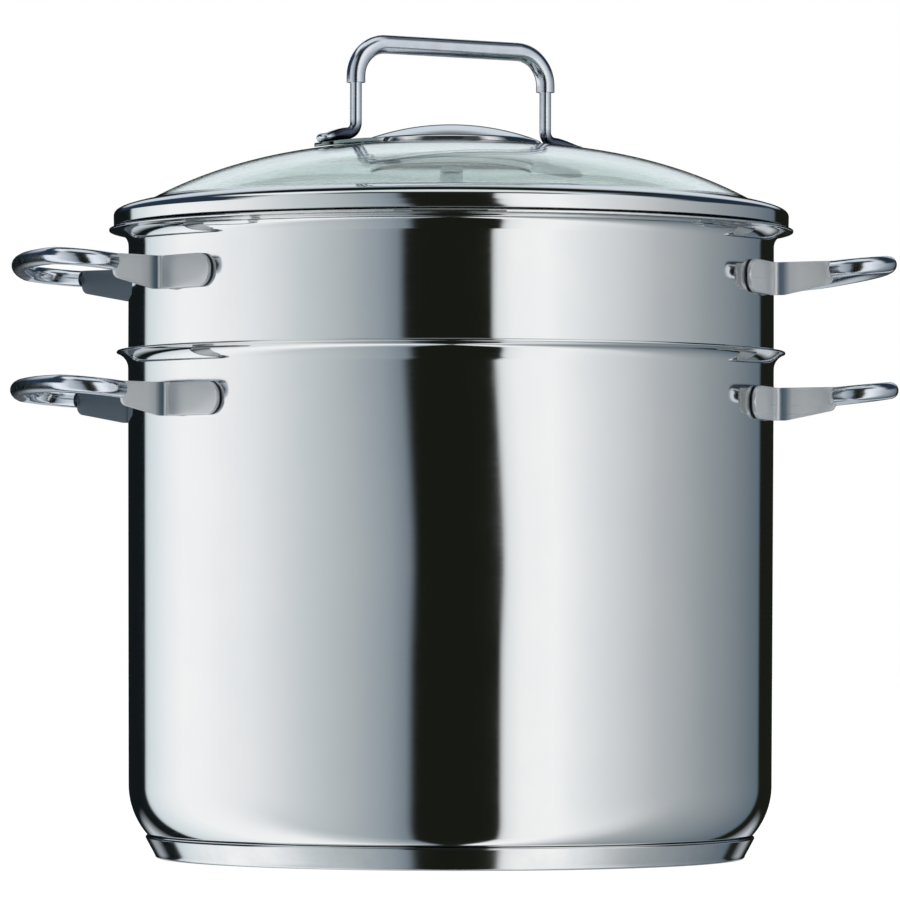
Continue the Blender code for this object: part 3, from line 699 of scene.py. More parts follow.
@dataclass(frozen=True)
class WeldedRod(DrawnSteel):
    """The lid handle's legs: the same rod, with darker feet but for their tips."""

    name: str = "welded stainless rod"
    dark_tone: str = "4A5260"
    darker_below: float = 0.2712
    plain_above: float = 0.2752
    darker_inside: float = 0.0520
    plain_outside: float = 0.0545

    def material(self) -> bpy.types.Material:
        """Make the material."""
        material = super().material()
        tree = material.node_tree
        place = node(tree, "ShaderNodeTexCoord", {}, {}).outputs["Object"]
        parts = node(tree, "ShaderNodeSeparateXYZ", {}, {"Vector": place}).outputs
        low = node(
            tree, "ShaderNodeMapRange", {"From Min": self.plain_above, "From Max": self.darker_below},
            {"Value": parts["Z"]},
        ).outputs["Result"]
        near = node(
            tree, "ShaderNodeMapRange",
            {"From Min": self.plain_outside, "From Max": self.darker_inside},
            {"Value": axis_distance(tree, place)},
        ).outputs["Result"]
        darkening = node(
            tree, "ShaderNodeMath", {"operation": "MULTIPLY"}, {0: low, 1: near}
        ).outputs["Value"]
        self.tint_over(tree, self.dark_tone, darkening)
        return material


@dataclass(frozen=True)
class TurnedBase(Finish):
    """The base's steel capsule: its side is buffed, and its underside keeps the rings of the lathe.

    The rings are 0.8 mm apart, as the tool leaves them on such a base.
    """

    name: str = "turned stainless base"
    colour: str = "E1E2E2"
    tint: str = "D6D9DA"
    ring_pitch: float = 0.0008
    ring_depth: float = 0.00002
    under_top: float = 0.0009
    under_bottom: float = 0.0002

    def material(self) -> bpy.types.Material:
        """Make the material."""
        material, tree, place = self.begin()
        parts = node(tree, "ShaderNodeSeparateXYZ", {}, {"Vector": place}).outputs
        turns = node(
            tree, "ShaderNodeMath", {"operation": "MULTIPLY", 1: tau / self.ring_pitch},
            {0: axis_distance(tree, place)},
        ).outputs["Value"]
        rings = node(tree, "ShaderNodeMath", {"operation": "SINE"}, {0: turns}).outputs["Value"]
        under = node(
            tree, "ShaderNodeMapRange",
            {"From Min": self.under_bottom, "From Max": self.under_top, "To Min": 1.0, "To Max": 0.0},
            {"Value": parts["Z"]},
        ).outputs["Result"]
        height = node(
            tree, "ShaderNodeMath", {"operation": "MULTIPLY"}, {0: rings, 1: under}
        ).outputs["Value"]
        clouds = node(
            tree, "ShaderNodeTexNoise", {"Scale": 60.0, "Detail": 5.0, "Roughness": 0.65},
            {"Vector": place},
        ).outputs["Fac"]
        worn = node(
            tree, "ShaderNodeMath", {"operation": "MULTIPLY_ADD", 1: 0.26, 2: 0.05}, {0: under}
        ).outputs["Value"]
        rough = node(
            tree, "ShaderNodeMath", {"operation": "MULTIPLY_ADD", 1: 0.07}, {0: clouds, 2: worn}
        ).outputs["Value"]
        tones = [(0.3, linear(self.tint)), (0.6, linear(self.colour))]
        tone = node(tree, "ShaderNodeValToRGB", {"stops": tones}, {"Fac": clouds}).outputs["Color"]
        bump = node(
            tree, "ShaderNodeBump", {"Strength": 0.5, "Distance": self.ring_depth}, {"Height": height}
        ).outputs["Normal"]
        self.set_shader(
            tree, {"Metallic": 1.0}, {"Base Color": tone, "Roughness": rough, "Normal": bump}
        )
        return material


@dataclass(frozen=True)
class RolledAluminium(Finish):
    """The core disc, blanked from rolled aluminium sheet: dull, with grain along the rolling direction."""

    name: str = "rolled aluminium"
    colour: str = "C9CCCF"
    tint: str = "B4B8BC"
    grain: float = 0.0006
    grain_waves: float = 20.0

    def material(self) -> bpy.types.Material:
        """Make the material."""
        material, tree, place = self.begin()
        drawn_out = (self.grain_waves, 1 / self.grain, 1 / self.grain)
        rolled = node(tree, "ShaderNodeMapping", {"Scale": drawn_out}, {"Vector": place}).outputs["Vector"]
        grain = node(
            tree, "ShaderNodeTexNoise", {"Scale": 1.0, "Detail": 3.0}, {"Vector": rolled}
        ).outputs["Fac"]
        tones = [(0.3, linear(self.tint)), (0.65, linear(self.colour))]
        tone = node(tree, "ShaderNodeValToRGB", {"stops": tones}, {"Fac": grain}).outputs["Color"]
        rough = node(
            tree, "ShaderNodeMapRange",
            {"From Min": 0.3, "From Max": 0.7, "To Min": 0.3, "To Max": 0.46}, {"Value": grain},
        ).outputs["Result"]
        self.set_shader(tree, {"Metallic": 1.0}, {"Base Color": tone, "Roughness": rough})
        return material


@dataclass(frozen=True)
class ToughenedGlass(Finish):
    """Soda-lime glass, press-moulded and toughened: clear with the green of its iron, and a fire-polished
    skin.

    The skin's slow waves are about 9 mm long, as the mould leaves them.
    """

    name: str = "toughened soda lime glass"
    colour: str = "EFFAF9"
    tint: str = "E9F7F6"
    index: float = 1.5
    polish: float = 0.012
    wave: float = 0.009
    wave_depth: float = 0.0000004

    def material(self) -> bpy.types.Material:
        """Make the material."""
        material, tree, place = self.begin()
        waves = node(
            tree, "ShaderNodeTexNoise", {"Scale": 1 / self.wave, "Detail": 1.0}, {"Vector": place}
        ).outputs["Fac"]
        tones = [(0.35, linear(self.tint)), (0.65, linear(self.colour))]
        tone = node(tree, "ShaderNodeValToRGB", {"stops": tones}, {"Fac": waves}).outputs["Color"]
        bump = node(
            tree, "ShaderNodeBump", {"Strength": 0.3, "Distance": self.wave_depth}, {"Height": waves}
        ).outputs["Normal"]
        self.set_shader(
            tree, {"Transmission Weight": 1.0, "Roughness": self.polish, "IOR": self.index},
            {"Base Color": tone, "Normal": bump},
        )
        return material


@dataclass(frozen=True)
class ClearSilicone(Finish):
    """Moulded silicone rubber: milky, half clear, with a slightly dry skin."""

    name: str = "milky silicone"
    colour: str = "DFE4E3"
    tint: str = "CDD6D5"
    index: float = 1.41
    clearness: float = 0.35
    skin: float = 0.42
    pores: float = 0.0009
    pore_depth: float = 0.00003

    def material(self) -> bpy.types.Material:
        """Make the material."""
        material, tree, place = self.begin()
        pores = node(
            tree, "ShaderNodeTexNoise", {"Scale": 1 / self.pores, "Detail": 2.0}, {"Vector": place}
        ).outputs["Fac"]
        tones = [(0.3, linear(self.tint)), (0.7, linear(self.colour))]
        tone = node(tree, "ShaderNodeValToRGB", {"stops": tones}, {"Fac": pores}).outputs["Color"]
        bump = node(
            tree, "ShaderNodeBump", {"Strength": 0.3, "Distance": self.pore_depth}, {"Height": pores}
        ).outputs["Normal"]
        self.set_shader(
            tree, {"Roughness": self.skin, "IOR": self.index, "Transmission Weight": self.clearness},
            {"Base Color": tone, "Normal": bump},
        )
        return material


@dataclass(frozen=True)
class MattFloor(Finish):
    """The studio's floor: matt and pale, and white to the camera but for the pot's own soft shadow."""

    name: str = "matt white floor"
    colour: str = "F2F2F1"
    roughness: float = 0.9
    glow: float = 0.86
    shade: float = 0.55

    def material(self) -> bpy.types.Material:
        """Make the material."""
        material = bpy.data.materials.new(self.name)
        material.use_nodes = True
        tree = material.node_tree
        self.set_shader(tree, {"Base Color": linear(self.colour), "Roughness": self.roughness}, {})
        seen = seen_straight(tree)
        glow = node(tree, "ShaderNodeEmission", {"Color": (1, 1, 1, 1), "Strength": self.glow}, {})
        dim = node(
            tree, "ShaderNodeBsdfDiffuse", {"Color": (self.shade, self.shade, self.shade, 1)}, {}
        )
        plain = node(
            tree, "ShaderNodeAddShader", {}, {0: glow.outputs["Emission"], 1: dim.outputs["BSDF"]}
        )
        matt = tree.nodes["Principled BSDF"].outputs["BSDF"]
        both = node(
            tree, "ShaderNodeMixShader", {}, {"Fac": seen, 1: matt, 2: plain.outputs["Shader"]}
        )
        tree.links.new(both.outputs["Shader"], tree.nodes["Material Output"].inputs["Surface"])
        return material


@dataclass
class Shop:
    """The finishes, each made once, and the bench where a finished piece gets its place in the model."""

    looks: dict[str, bpy.types.Material] = field(default_factory=dict)

    def stock(self) -> None:
        """Make every material, under the record's slot or the kind of piece that it belongs to."""
        for finish, slot in (
            (PolishedSteel(), "polished_steel"),
            (StrapSteel(), "strap"),
            (WeldedStrip(), "strip"),
            (DrawnSteel(), "steel_tube"),
            (WeldedRod(), "leg"),
            (TurnedBase(), "base_steel"),
            (RolledAluminium(), "core_aluminium"),
            (ToughenedGlass(), "glass"),
            (ClearSilicone(), "clear_silicone"),
        ):
            self.looks[slot] = finish.material()

    def dress(self, piece: bpy.types.Object, slot: str, body: str, *nodes: str, look: str = "") -> None:
        """Give a finished piece its material, its body and the solids that it stands for.

        Args:
            piece: The finished piece.
            slot: The record's material slot.
            body: The body that the piece moves with.
            *nodes: Names of the solids that it replaces.
            look: A finish of its own within the slot.
        """
        clear_selection()
        piece.data.materials.clear()
        piece.data.materials.append(self.looks[look or slot])
        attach(piece, body)
        if nodes:
            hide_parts(*nodes)
        faces = sum(len(face.vertices) - 2 for face in piece.data.polygons)
        LOG.info("%s: %d triangles, on %s", piece.name, faces, body)

    def dress_solids(self) -> None:
        """Give every solid of the model the finish of its slot, hidden ones too."""
        for row in frame["record"]["subparts"]:
            solid = frame["nodes"][row["node"]]
            for slot in solid.material_slots:
                slot.material = self.looks[row["material_slot"]]


# The pot


@dataclass
class Vessel:
    """The pot's own sheet metal: the vessel, and the capsule and core of its base."""

    wall: float = 0.0009
    rim_centre: Point = (0.127, 0.1827)
    rim_bend: float = 0.006
    rim_start: float = 105.0
    rim_round: float = 0.00032
    corner_centre: Point = (0.0923, 0.0273)
    corner_bend: float = 0.028
    corner_sweep: float = 40.0
    floor: float = 0.0073
    foot_radius: float = 0.1104
    base_taper: float = 0.0035
    base_sheet: float = 0.0007
    foot_round: float = 0.0012
    cap_edge_height: float = 0.0076
    cap_edge_bend: float = 0.0009

    def build(self, shop: Shop) -> None:
        """Model and dress the pieces."""
        shop.dress(self.body(), "polished_steel", "pot", "pot_body")
        shop.dress(self.capsule(), "base_steel", "pot", "base_cap")

    def body(self) -> bpy.types.Object:
        """Turn the vessel: flared rim, wall with a little draft, bottom corner and floor."""
        sweep = radians(self.corner_sweep)
        profile = arc(self.rim_centre, self.rim_bend, self.rim_start, 180, 14)
        corner = arc(self.corner_centre, self.corner_bend, 0, -self.corner_sweep, 16)
        low = corner[-1]
        run = (low[1] - self.floor) / cos(sweep)
        knee = (low[0] - run * sin(sweep), self.floor)
        profile += corner + blend(low, knee, (knee[0] - run, self.floor), 5)[1:]
        profile += [(0.07, self.floor), (0.03, self.floor), (0, self.floor)]
        piece = turned("pot_vessel", supported(profile))
        thicken(piece, self.wall)
        round_edges(piece, self.rim_round, 60)
        smooth(piece)
        return piece

    def capsule(self) -> bpy.types.Object:
        """Turn the steel capsule that closes over the core."""
        top = self.foot_radius + self.base_taper
        bend = self.cap_edge_bend
        profile = arc((top - bend, self.cap_edge_height), bend, 75, 0, 5)
        foot = (self.foot_radius - self.foot_round, self.foot_round)
        profile += arc(foot, self.foot_round, -4, -90, 6)
        profile += [(0.06, 0), (0, 0)]
        piece = turned("base_capsule", supported(profile, 0.0009))
        thicken(piece, self.base_sheet)
        smooth(piece)
        return piece


@dataclass
class Basket:
    """The insert's sheet metal: collar with a flat rim, shoulder, and the perforated basket below."""

    radius: float = 0.121
    wall: float = 0.0009
    rim_radius: float = 0.1283
    rim_underside: float = 0.2340
    fillet: float = 0.0056
    shoulder_centre: Point = (0.116, 0.18798)
    shoulder_bend: float = 0.005
    neck_drop: float = 0.00696
    neck_run: float = 0.0016
    neck_end: float = 0.003
    basket_radius: float = 0.116
    taper: float = 0.004
    floor: float = 0.032
    floor_radius: float = 0.090
    corner: float = 0.014
    rim_round: float = 0.0003
    steps: int = 120
    row_pitch: float = 0.006
    row_margin: float = 0.0008
    first_row: float = 0.0545
    rows: int = 19
    hole: float = 0.0046
    corner_cut: float = 0.293
    floor_rings: int = 6
    floor_pitch: float = 0.0133
    drill_length: float = 0.006

    def build(self, shop: Shop) -> None:
        """Model and dress the insert's body."""
        shop.dress(self.body(), "polished_steel", "insert", "insert_body")

    def wall_radius(self, height: float) -> float:
        """Radius of the basket's tapered wall at a height."""
        top = self.shoulder_centre[1] - self.neck_drop
        share = (height - self.floor - self.corner) / (top - self.floor - self.corner)
        return self.basket_radius - self.taper * (1 - share)

    def body(self) -> bpy.types.Object:
        """Turn the body, punch the wall's holes in staggered rows and drill the floor."""
        fillet_centre = (self.radius + self.fillet, self.rim_underside - self.fillet)
        profile = [(self.rim_radius, self.rim_underside)]
        profile += arc(fillet_centre, self.fillet, 90, 180, 14)
        shoulder = arc(self.shoulder_centre, self.shoulder_bend, 0, -55, 9)
        neck = shoulder[-1]
        top = neck[1] - (neck[0] - self.basket_radius)
        bend_start = (neck[0] - self.neck_run, neck[1] - self.neck_run)
        bend_end = (self.basket_radius, top - self.neck_end)
        profile += shoulder + blend(bend_start, (self.basket_radius, top), bend_end, 4)
        last_row = self.first_row + self.rows * self.row_pitch
        above = last_row + self.row_margin
        profile.append((self.wall_radius(above), above))
        for row in range(self.rows + 1):
            height = last_row - row * self.row_pitch
            profile.append((self.wall_radius(height), height))
        low = (self.basket_radius - self.taper - self.corner, self.floor + self.corner)
        profile += arc(low, self.corner, 0, -90, 10)
        profile += [(self.floor_radius, self.floor)]
        piece = turned("insert_basket", supported(profile, 0.0021), self.steps)
        low = Vector((self.floor_radius + 0.0001, self.floor + 0.00001))
        with editing(piece):
            pick(piece, "verts", lambda item: item.co.z < low.y and item.co.xy.length < low.x)
            bpy.ops.mesh.edge_face_add()
            face_outwards(piece)
        self.punch_wall(piece, last_row)
        thicken(piece, self.wall)
        cut_out(piece, self.floor_drills())
        with editing(piece):
            edge = self.rim_radius - 0.0001
            pick(piece, "edges", lambda item: all(v.co.xy.length > edge for v in item.verts))
            bpy.ops.mesh.bevel(offset=self.rim_round, segments=3, affect="EDGES")
        placed(piece, turn=radians(INSERT_TURN))
        smooth(piece)
        return piece

    def punch_wall(self, piece: bpy.types.Object, last_row: float) -> None:
        """Open an eight-sided hole in every second cell of the wall, each row half a pitch on.

        Args:
            piece: The insert's shell, before it has its wall.
            last_row: Height of the top of the highest row.
        """
        def wanted(face: bmesh.types.BMFace) -> bool:
            """Say whether a hole goes in this face."""
            middle = face.calc_center_median()
            if not self.first_row < middle.z < last_row or len(face.verts) != 4:
                return False
            row = round((last_row - middle.z) / self.row_pitch - 0.5)
            column = round((atan2(middle.y, middle.x) % tau) / (tau / self.steps) - 0.5)
            return (row + column) % 2 == 0

        with editing(piece):
            pick(piece, "faces", wanted)
            margin = (self.row_pitch - self.hole) / 2
            bpy.ops.mesh.inset(thickness=margin, use_individual=True)
            bpy.ops.mesh.bevel(offset=self.hole * self.corner_cut, segments=1, affect="VERTICES")
            bpy.ops.mesh.delete(type="FACE")

    def floor_drills(self) -> bpy.types.Object:
        """Make the drills for the floor: one in the middle and rings of them round it.

        Returns:
            The drills, joined into one object.
        """
        first = rod("drill", self.hole / 2, self.drill_length, self.floor, 14)
        drills = [first]
        for ring in range(1, self.floor_rings + 1):
            reach = self.floor_pitch * ring
            for index in range(6 * ring):
                angle = tau * (index + 0.5 * (ring % 2)) / (6 * ring)
                made = copy_of(first, "drill")
                bpy.ops.transform.translate(value=(reach * cos(angle), reach * sin(angle), 0))
                drills.append(made)
        clear_selection()
        for made in drills:
            made.select_set(True)
        bpy.context.view_layer.objects.active = first
        bpy.ops.object.join()
        bpy.ops.object.transform_apply(location=True, rotation=False, scale=False)
        return bpy.context.object


@dataclass
class LoopHandle:
    """The four loop handles: folded straps on the wall, and bent tubes that stand in them."""

    wall_radius: float = 0.1222
    strap_height: float = 0.0122
    strap_thickness: float = 0.0018
    plate_end: float = 35.8
    plate_fold: float = 23.0
    plate_drop: float = 0.0192
    fold_radius: float = 0.0026
    spread: float = 40.0
    strap_length: float = 0.0215
    taper_length: float = 0.0205
    taper_end: float = 0.0043
    corner_share: float = 0.9
    tube_radius: float = 0.00315
    tube_wall: float = 0.001
    tenon_radius: float = 0.0018
    first_slice: float = 0.00008
    edge_round: float = 0.00042
    end_round: float = 0.0007
    rounding: float = 0.16
    bend_margin: float = 0.0009
    tenon_length: float = 0.0042
    tenon_rise: float = 0.0004
    socket_spare: float = 0.0006
    reach: float = 0.1612
    bow_radius: float = 0.260
    corner_radius: float = 0.012
    tilt: float = 5.5
    pot_rim: float = 0.1885
    insert_rim: float = 0.2349

    def build(self, shop: Shop) -> None:
        """Model one strap and one tube, and set their copies round the pot and the insert."""
        strap = self.strap()
        loop = self.loop()
        owners = (("pot", self.pot_rim, 0.0), ("insert", self.insert_rim, radians(INSERT_TURN)))
        for owner, rim, turn in owners:
            lift = rim - self.plate_drop
            for side in Side:
                for end in End:
                    tail = f"{side.name.lower()}_{end.name.lower()}"
                    piece = copy_of(strap, f"{owner}_strap_{tail}")
                    placed(piece, turn, lift, (side.value, end.value))
                    smooth(piece, 40)
                    shop.dress(piece, "polished_steel", owner, f"{owner}_bracket_{tail}", look="strap")
                piece = copy_of(loop, f"{owner}_loop_{side.name.lower()}")
                placed(piece, turn, lift, (side.value, 1))
                smooth(piece, 40)
                shop.dress(piece, "steel_tube", owner, f"{owner}_grip_{side.name.lower()}")
        for pattern in (strap, loop):
            bpy.data.objects.remove(pattern, do_unlink=True)

    def fold_centre(self) -> Vector:
        """Middle of the fold between the plate and the strap, in plan."""
        return self.direction(self.plate_fold) * (self.wall_radius + self.fold_radius)

    @staticmethod
    def direction(angle: float) -> Vector:
        """Unit vector at an angle in degrees from X, in plan."""
        return Vector((cos(radians(angle)), sin(radians(angle)), 0))

    def socket(self) -> tuple[Vector, Vector]:
        """Where the tube begins, and the way that the strap runs there, in plan."""
        heading = self.direction(self.spread)
        start = self.fold_centre() + self.direction(self.spread + 270) * self.fold_radius
        return start + heading * self.strap_length, heading

    def strap_line(self) -> tuple[list[Vector], float]:
        """Draw the strap's middle line in plan, from its plate's end.

        Returns:
            The points, and the length of the line up to the tube.
        """
        line = []
        for step in range(25):
            angle = self.plate_end + (self.plate_fold - self.plate_end) * step / 24
            line.append(self.direction(angle) * self.wall_radius)
        centre = self.fold_centre()
        for step in range(1, 17):
            angle = self.plate_fold + 180 + (self.spread + 90 - self.plate_fold) * step / 16
            line.append(centre + self.direction(angle) * self.fold_radius)
        socket, heading = self.socket()
        line.append(socket)
        length = sum((b - a).length for a, b in zip(line, line[1:]))
        return line + [socket + heading * 0.02], length

    def strap(self) -> bpy.types.Object:
        """Draw the strap out straight from its plate's round end, then fold it along its line.

        Returns:
            The strap at +X and +Y, with its plate's middle at height 0.
        """
        line, length = self.strap_line()
        half = self.strap_height / 2
        thin = self.strap_thickness / 2
        slice_size = (self.first_slice, self.strap_thickness, self.strap_height)
        piece = block("strap_pattern", slice_size)
        with editing(piece):
            pick(piece, "edges", lambda item: abs(item.verts[0].co.x - item.verts[1].co.x) > 0.00001)
            bpy.ops.mesh.bevel(offset=self.edge_round, segments=4, affect="EDGES")
            pick(piece, "edges", lambda item: abs(item.verts[0].co.z - item.verts[1].co.z) > half)
            bpy.ops.mesh.subdivide(number_cuts=9)
            pick(piece, "verts", lambda item: item.co.x < 0)
            self.fit_ring(piece, -self.first_slice / 2, 0.06 * half, 0.45 * thin, half)
            pick(piece, "faces", lambda item: item.normal.x > 0.9)
            self.fit_ring(piece, self.first_slice / 2, 0.1 * half, 0.5 * thin, half)
            for reach, tall, wide in self.stations(length):
                bpy.ops.mesh.extrude_region_move(TRANSFORM_OT_translate={"value": (self.first_slice, 0, 0)})
                if reach > length - self.taper_length:
                    centre = (reach, 0, half - tall)
                    done = 1 - (length - reach) / self.taper_length
                    bpy.ops.transform.tosphere(value=self.rounding * done ** 12, center_override=centre)
                self.fit_ring(piece, reach, tall, wide, half)
            bpy.ops.mesh.extrude_region_move(TRANSFORM_OT_translate={"value": (0, 0, 0)})
            tenon, tenon_top = self.tenon_radius, half - self.tube_radius + self.tenon_radius
            self.fit_ring(piece, length, tenon, tenon, tenon_top)
            run = (self.tenon_length, 0, self.tenon_rise)
            bpy.ops.mesh.extrude_region_move(TRANSFORM_OT_translate={"value": run})
        flat = piece.data.attributes.new("flat", "FLOAT_VECTOR", "POINT")
        flat.data.foreach_set("vector", [value for point in piece.data.vertices for value in point.co])
        self.fold(piece, line)
        return piece

    def stations(self, length: float) -> list[tuple[float, float, float]]:
        """List the strap's sections along its length: place, half height and half thickness.

        Args:
            length: Where the strap meets the tube.

        Returns:
            The sections, past the first slice of the plate's end.
        """
        half = self.strap_height / 2
        thin = self.strap_thickness / 2
        made = []
        for angle in (14, 20, 27, 35, 44, 54, 65, 77, 90):
            reach = half * (1 - cos(radians(angle)))
            short = max(0.0, 1 - reach / self.end_round)
            made.append((reach, half * sin(radians(angle)), thin * sqrt(1 - 0.75 * short * short)))
        plate = self.wall_radius * radians(self.plate_end - self.plate_fold)
        fold = self.fold_radius * radians(self.spread + 90 - self.plate_fold)
        bend_start = plate - self.bend_margin
        bend_end = plate + fold + self.bend_margin
        made += [(half + (bend_start - half) * step / 10, half, thin) for step in range(1, 11)]
        made += [(bend_start + (bend_end - bend_start) * step / 16, half, thin) for step in range(1, 17)]
        start = length - self.taper_length
        made.append((start, half, thin))
        for share in (0.12, 0.24, 0.36, 0.48, 0.6, 0.7, 0.78, 0.85,
                      0.9, 0.92, 0.94, 0.957, 0.972, 0.985, 0.995, 1.0):
            tall = half + (self.taper_end - half) * share
            done = max(0.0, (share - self.corner_share) / (1 - self.corner_share))
            tall = self.tube_radius + (tall - self.tube_radius) * sqrt(1 - done * done)
            wide = thin + (self.tube_radius * 0.6 - thin) * done ** 2
            made.append((start + self.taper_length * share, tall, wide))
        return made

    @staticmethod
    def fit_ring(piece: bpy.types.Object, reach: float, tall: float, wide: float, top: float) -> None:
        """Scale and move the selected ring to its section of the strap.

        Args:
            piece: The strap in edit mode, still straight along X.
            reach: Place of the section along the strap.
            tall: Half height of the section.
            wide: Half thickness of the section.
            top: Height of the strap's level top edge, which the section keeps to past the plate's end.
        """
        ring = [v.co.copy() for v in bmesh.from_edit_mesh(piece.data).verts if v.select]
        low = min(point.z for point in ring)
        high = max(point.z for point in ring)
        side = max(abs(point.y) for point in ring)
        middle = Vector((ring[0].x, 0, (low + high) / 2))
        bpy.ops.transform.resize(
            value=(1, wide / side, 2 * tall / (high - low)), center_override=tuple(middle)
        )
        past_plate = reach > 0.02
        height = top - tall if past_plate else 0.0
        bpy.ops.transform.translate(value=(reach - middle.x, 0, height - middle.z))

    def fold(self, piece: bpy.types.Object, line: Sequence[Vector]) -> None:
        """Bend a straight strap along its line, with its length kept.

        Args:
            piece: The strap, straight along X.
            line: Points of its middle line in plan.
        """
        guide = guide_curve(line, "2D")
        apply_modifier(piece, "CURVE", object=guide, deform_axis="POS_X")
        bpy.data.objects.remove(guide, do_unlink=True)
        with editing(piece):
            face_outwards(piece)

    def tube_line(self) -> list[Vector]:
        """Draw the tube's middle line, from one socket round the bow to the other.

        Returns:
            The points, with the plates' middle at height 0.
        """
        socket, heading = self.socket()
        bow_centre = Vector((self.reach - self.bow_radius, 0, 0))
        inner = self.bow_radius - self.corner_radius
        point = socket + Vector((heading.y, -heading.x, 0)) * self.corner_radius
        offset = point - bow_centre
        along = offset.dot(heading)
        corner = point + heading * (sqrt(along ** 2 - offset.length_squared + inner ** 2) - along)
        bow = degrees((corner - bow_centre).angle(Vector((1, 0, 0))))
        half = [bow_centre + self.direction(bow * step / 14) * self.bow_radius for step in range(14)]
        for step in range(15):
            angle = bow + (self.spread + 90 - bow) * step / 14
            half.append(corner + self.direction(angle) * self.corner_radius)
        half.append(socket)
        height = self.strap_height / 2 - self.tube_radius
        whole = [Vector((p.x, -p.y, 0)) for p in reversed(half)] + half[1:]
        rise = sin(radians(self.tilt))
        return [Vector((p.x, p.y, height + (p.x - socket.x) * rise)) for p in whole]

    def loop(self) -> bpy.types.Object:
        """Bend the tube and bore both of its ends.

        Returns:
            The tube at +X, with the plates' middle at height 0.
        """
        line = self.tube_line()
        piece = tube("loop_pattern", line, self.tube_radius, 28)
        bore_ends(piece, line, self.tube_wall, self.tenon_length + self.socket_spare)
        return piece


def bore_ends(piece: bpy.types.Object, line: Sequence[Vector], wall: float, depth: float) -> None:
    """Open both flat ends of a bar as sockets.

    Args:
        piece: The bar.
        line: Points of its middle line.
        wall: Wall left round the socket.
        depth: Depth of the socket.
    """
    lip = 0.0003
    for end, inner in ((line[0], line[1]), (line[-1], line[-2])):
        heading = (inner - end).normalized()

        def at_end(face: bmesh.types.BMFace, end: Vector = end, heading: Vector = heading) -> bool:
            """Say whether a face is the bar's flat end."""
            near = (face.calc_center_median() - end).length < 0.0012
            return near and face.normal.dot(heading) < -0.9

        with editing(piece):
            if not pick(piece, "faces", at_end):
                LOG.warning("%s: no end face at %s", piece.name, tuple(end))
                continue
            bpy.ops.mesh.inset(thickness=lip)
            bpy.ops.mesh.inset(thickness=wall - lip)
            bpy.ops.mesh.extrude_region_move(TRANSFORM_OT_translate={"value": tuple(heading * depth)})
    round_edges(piece, 0.00025, 60, 2)


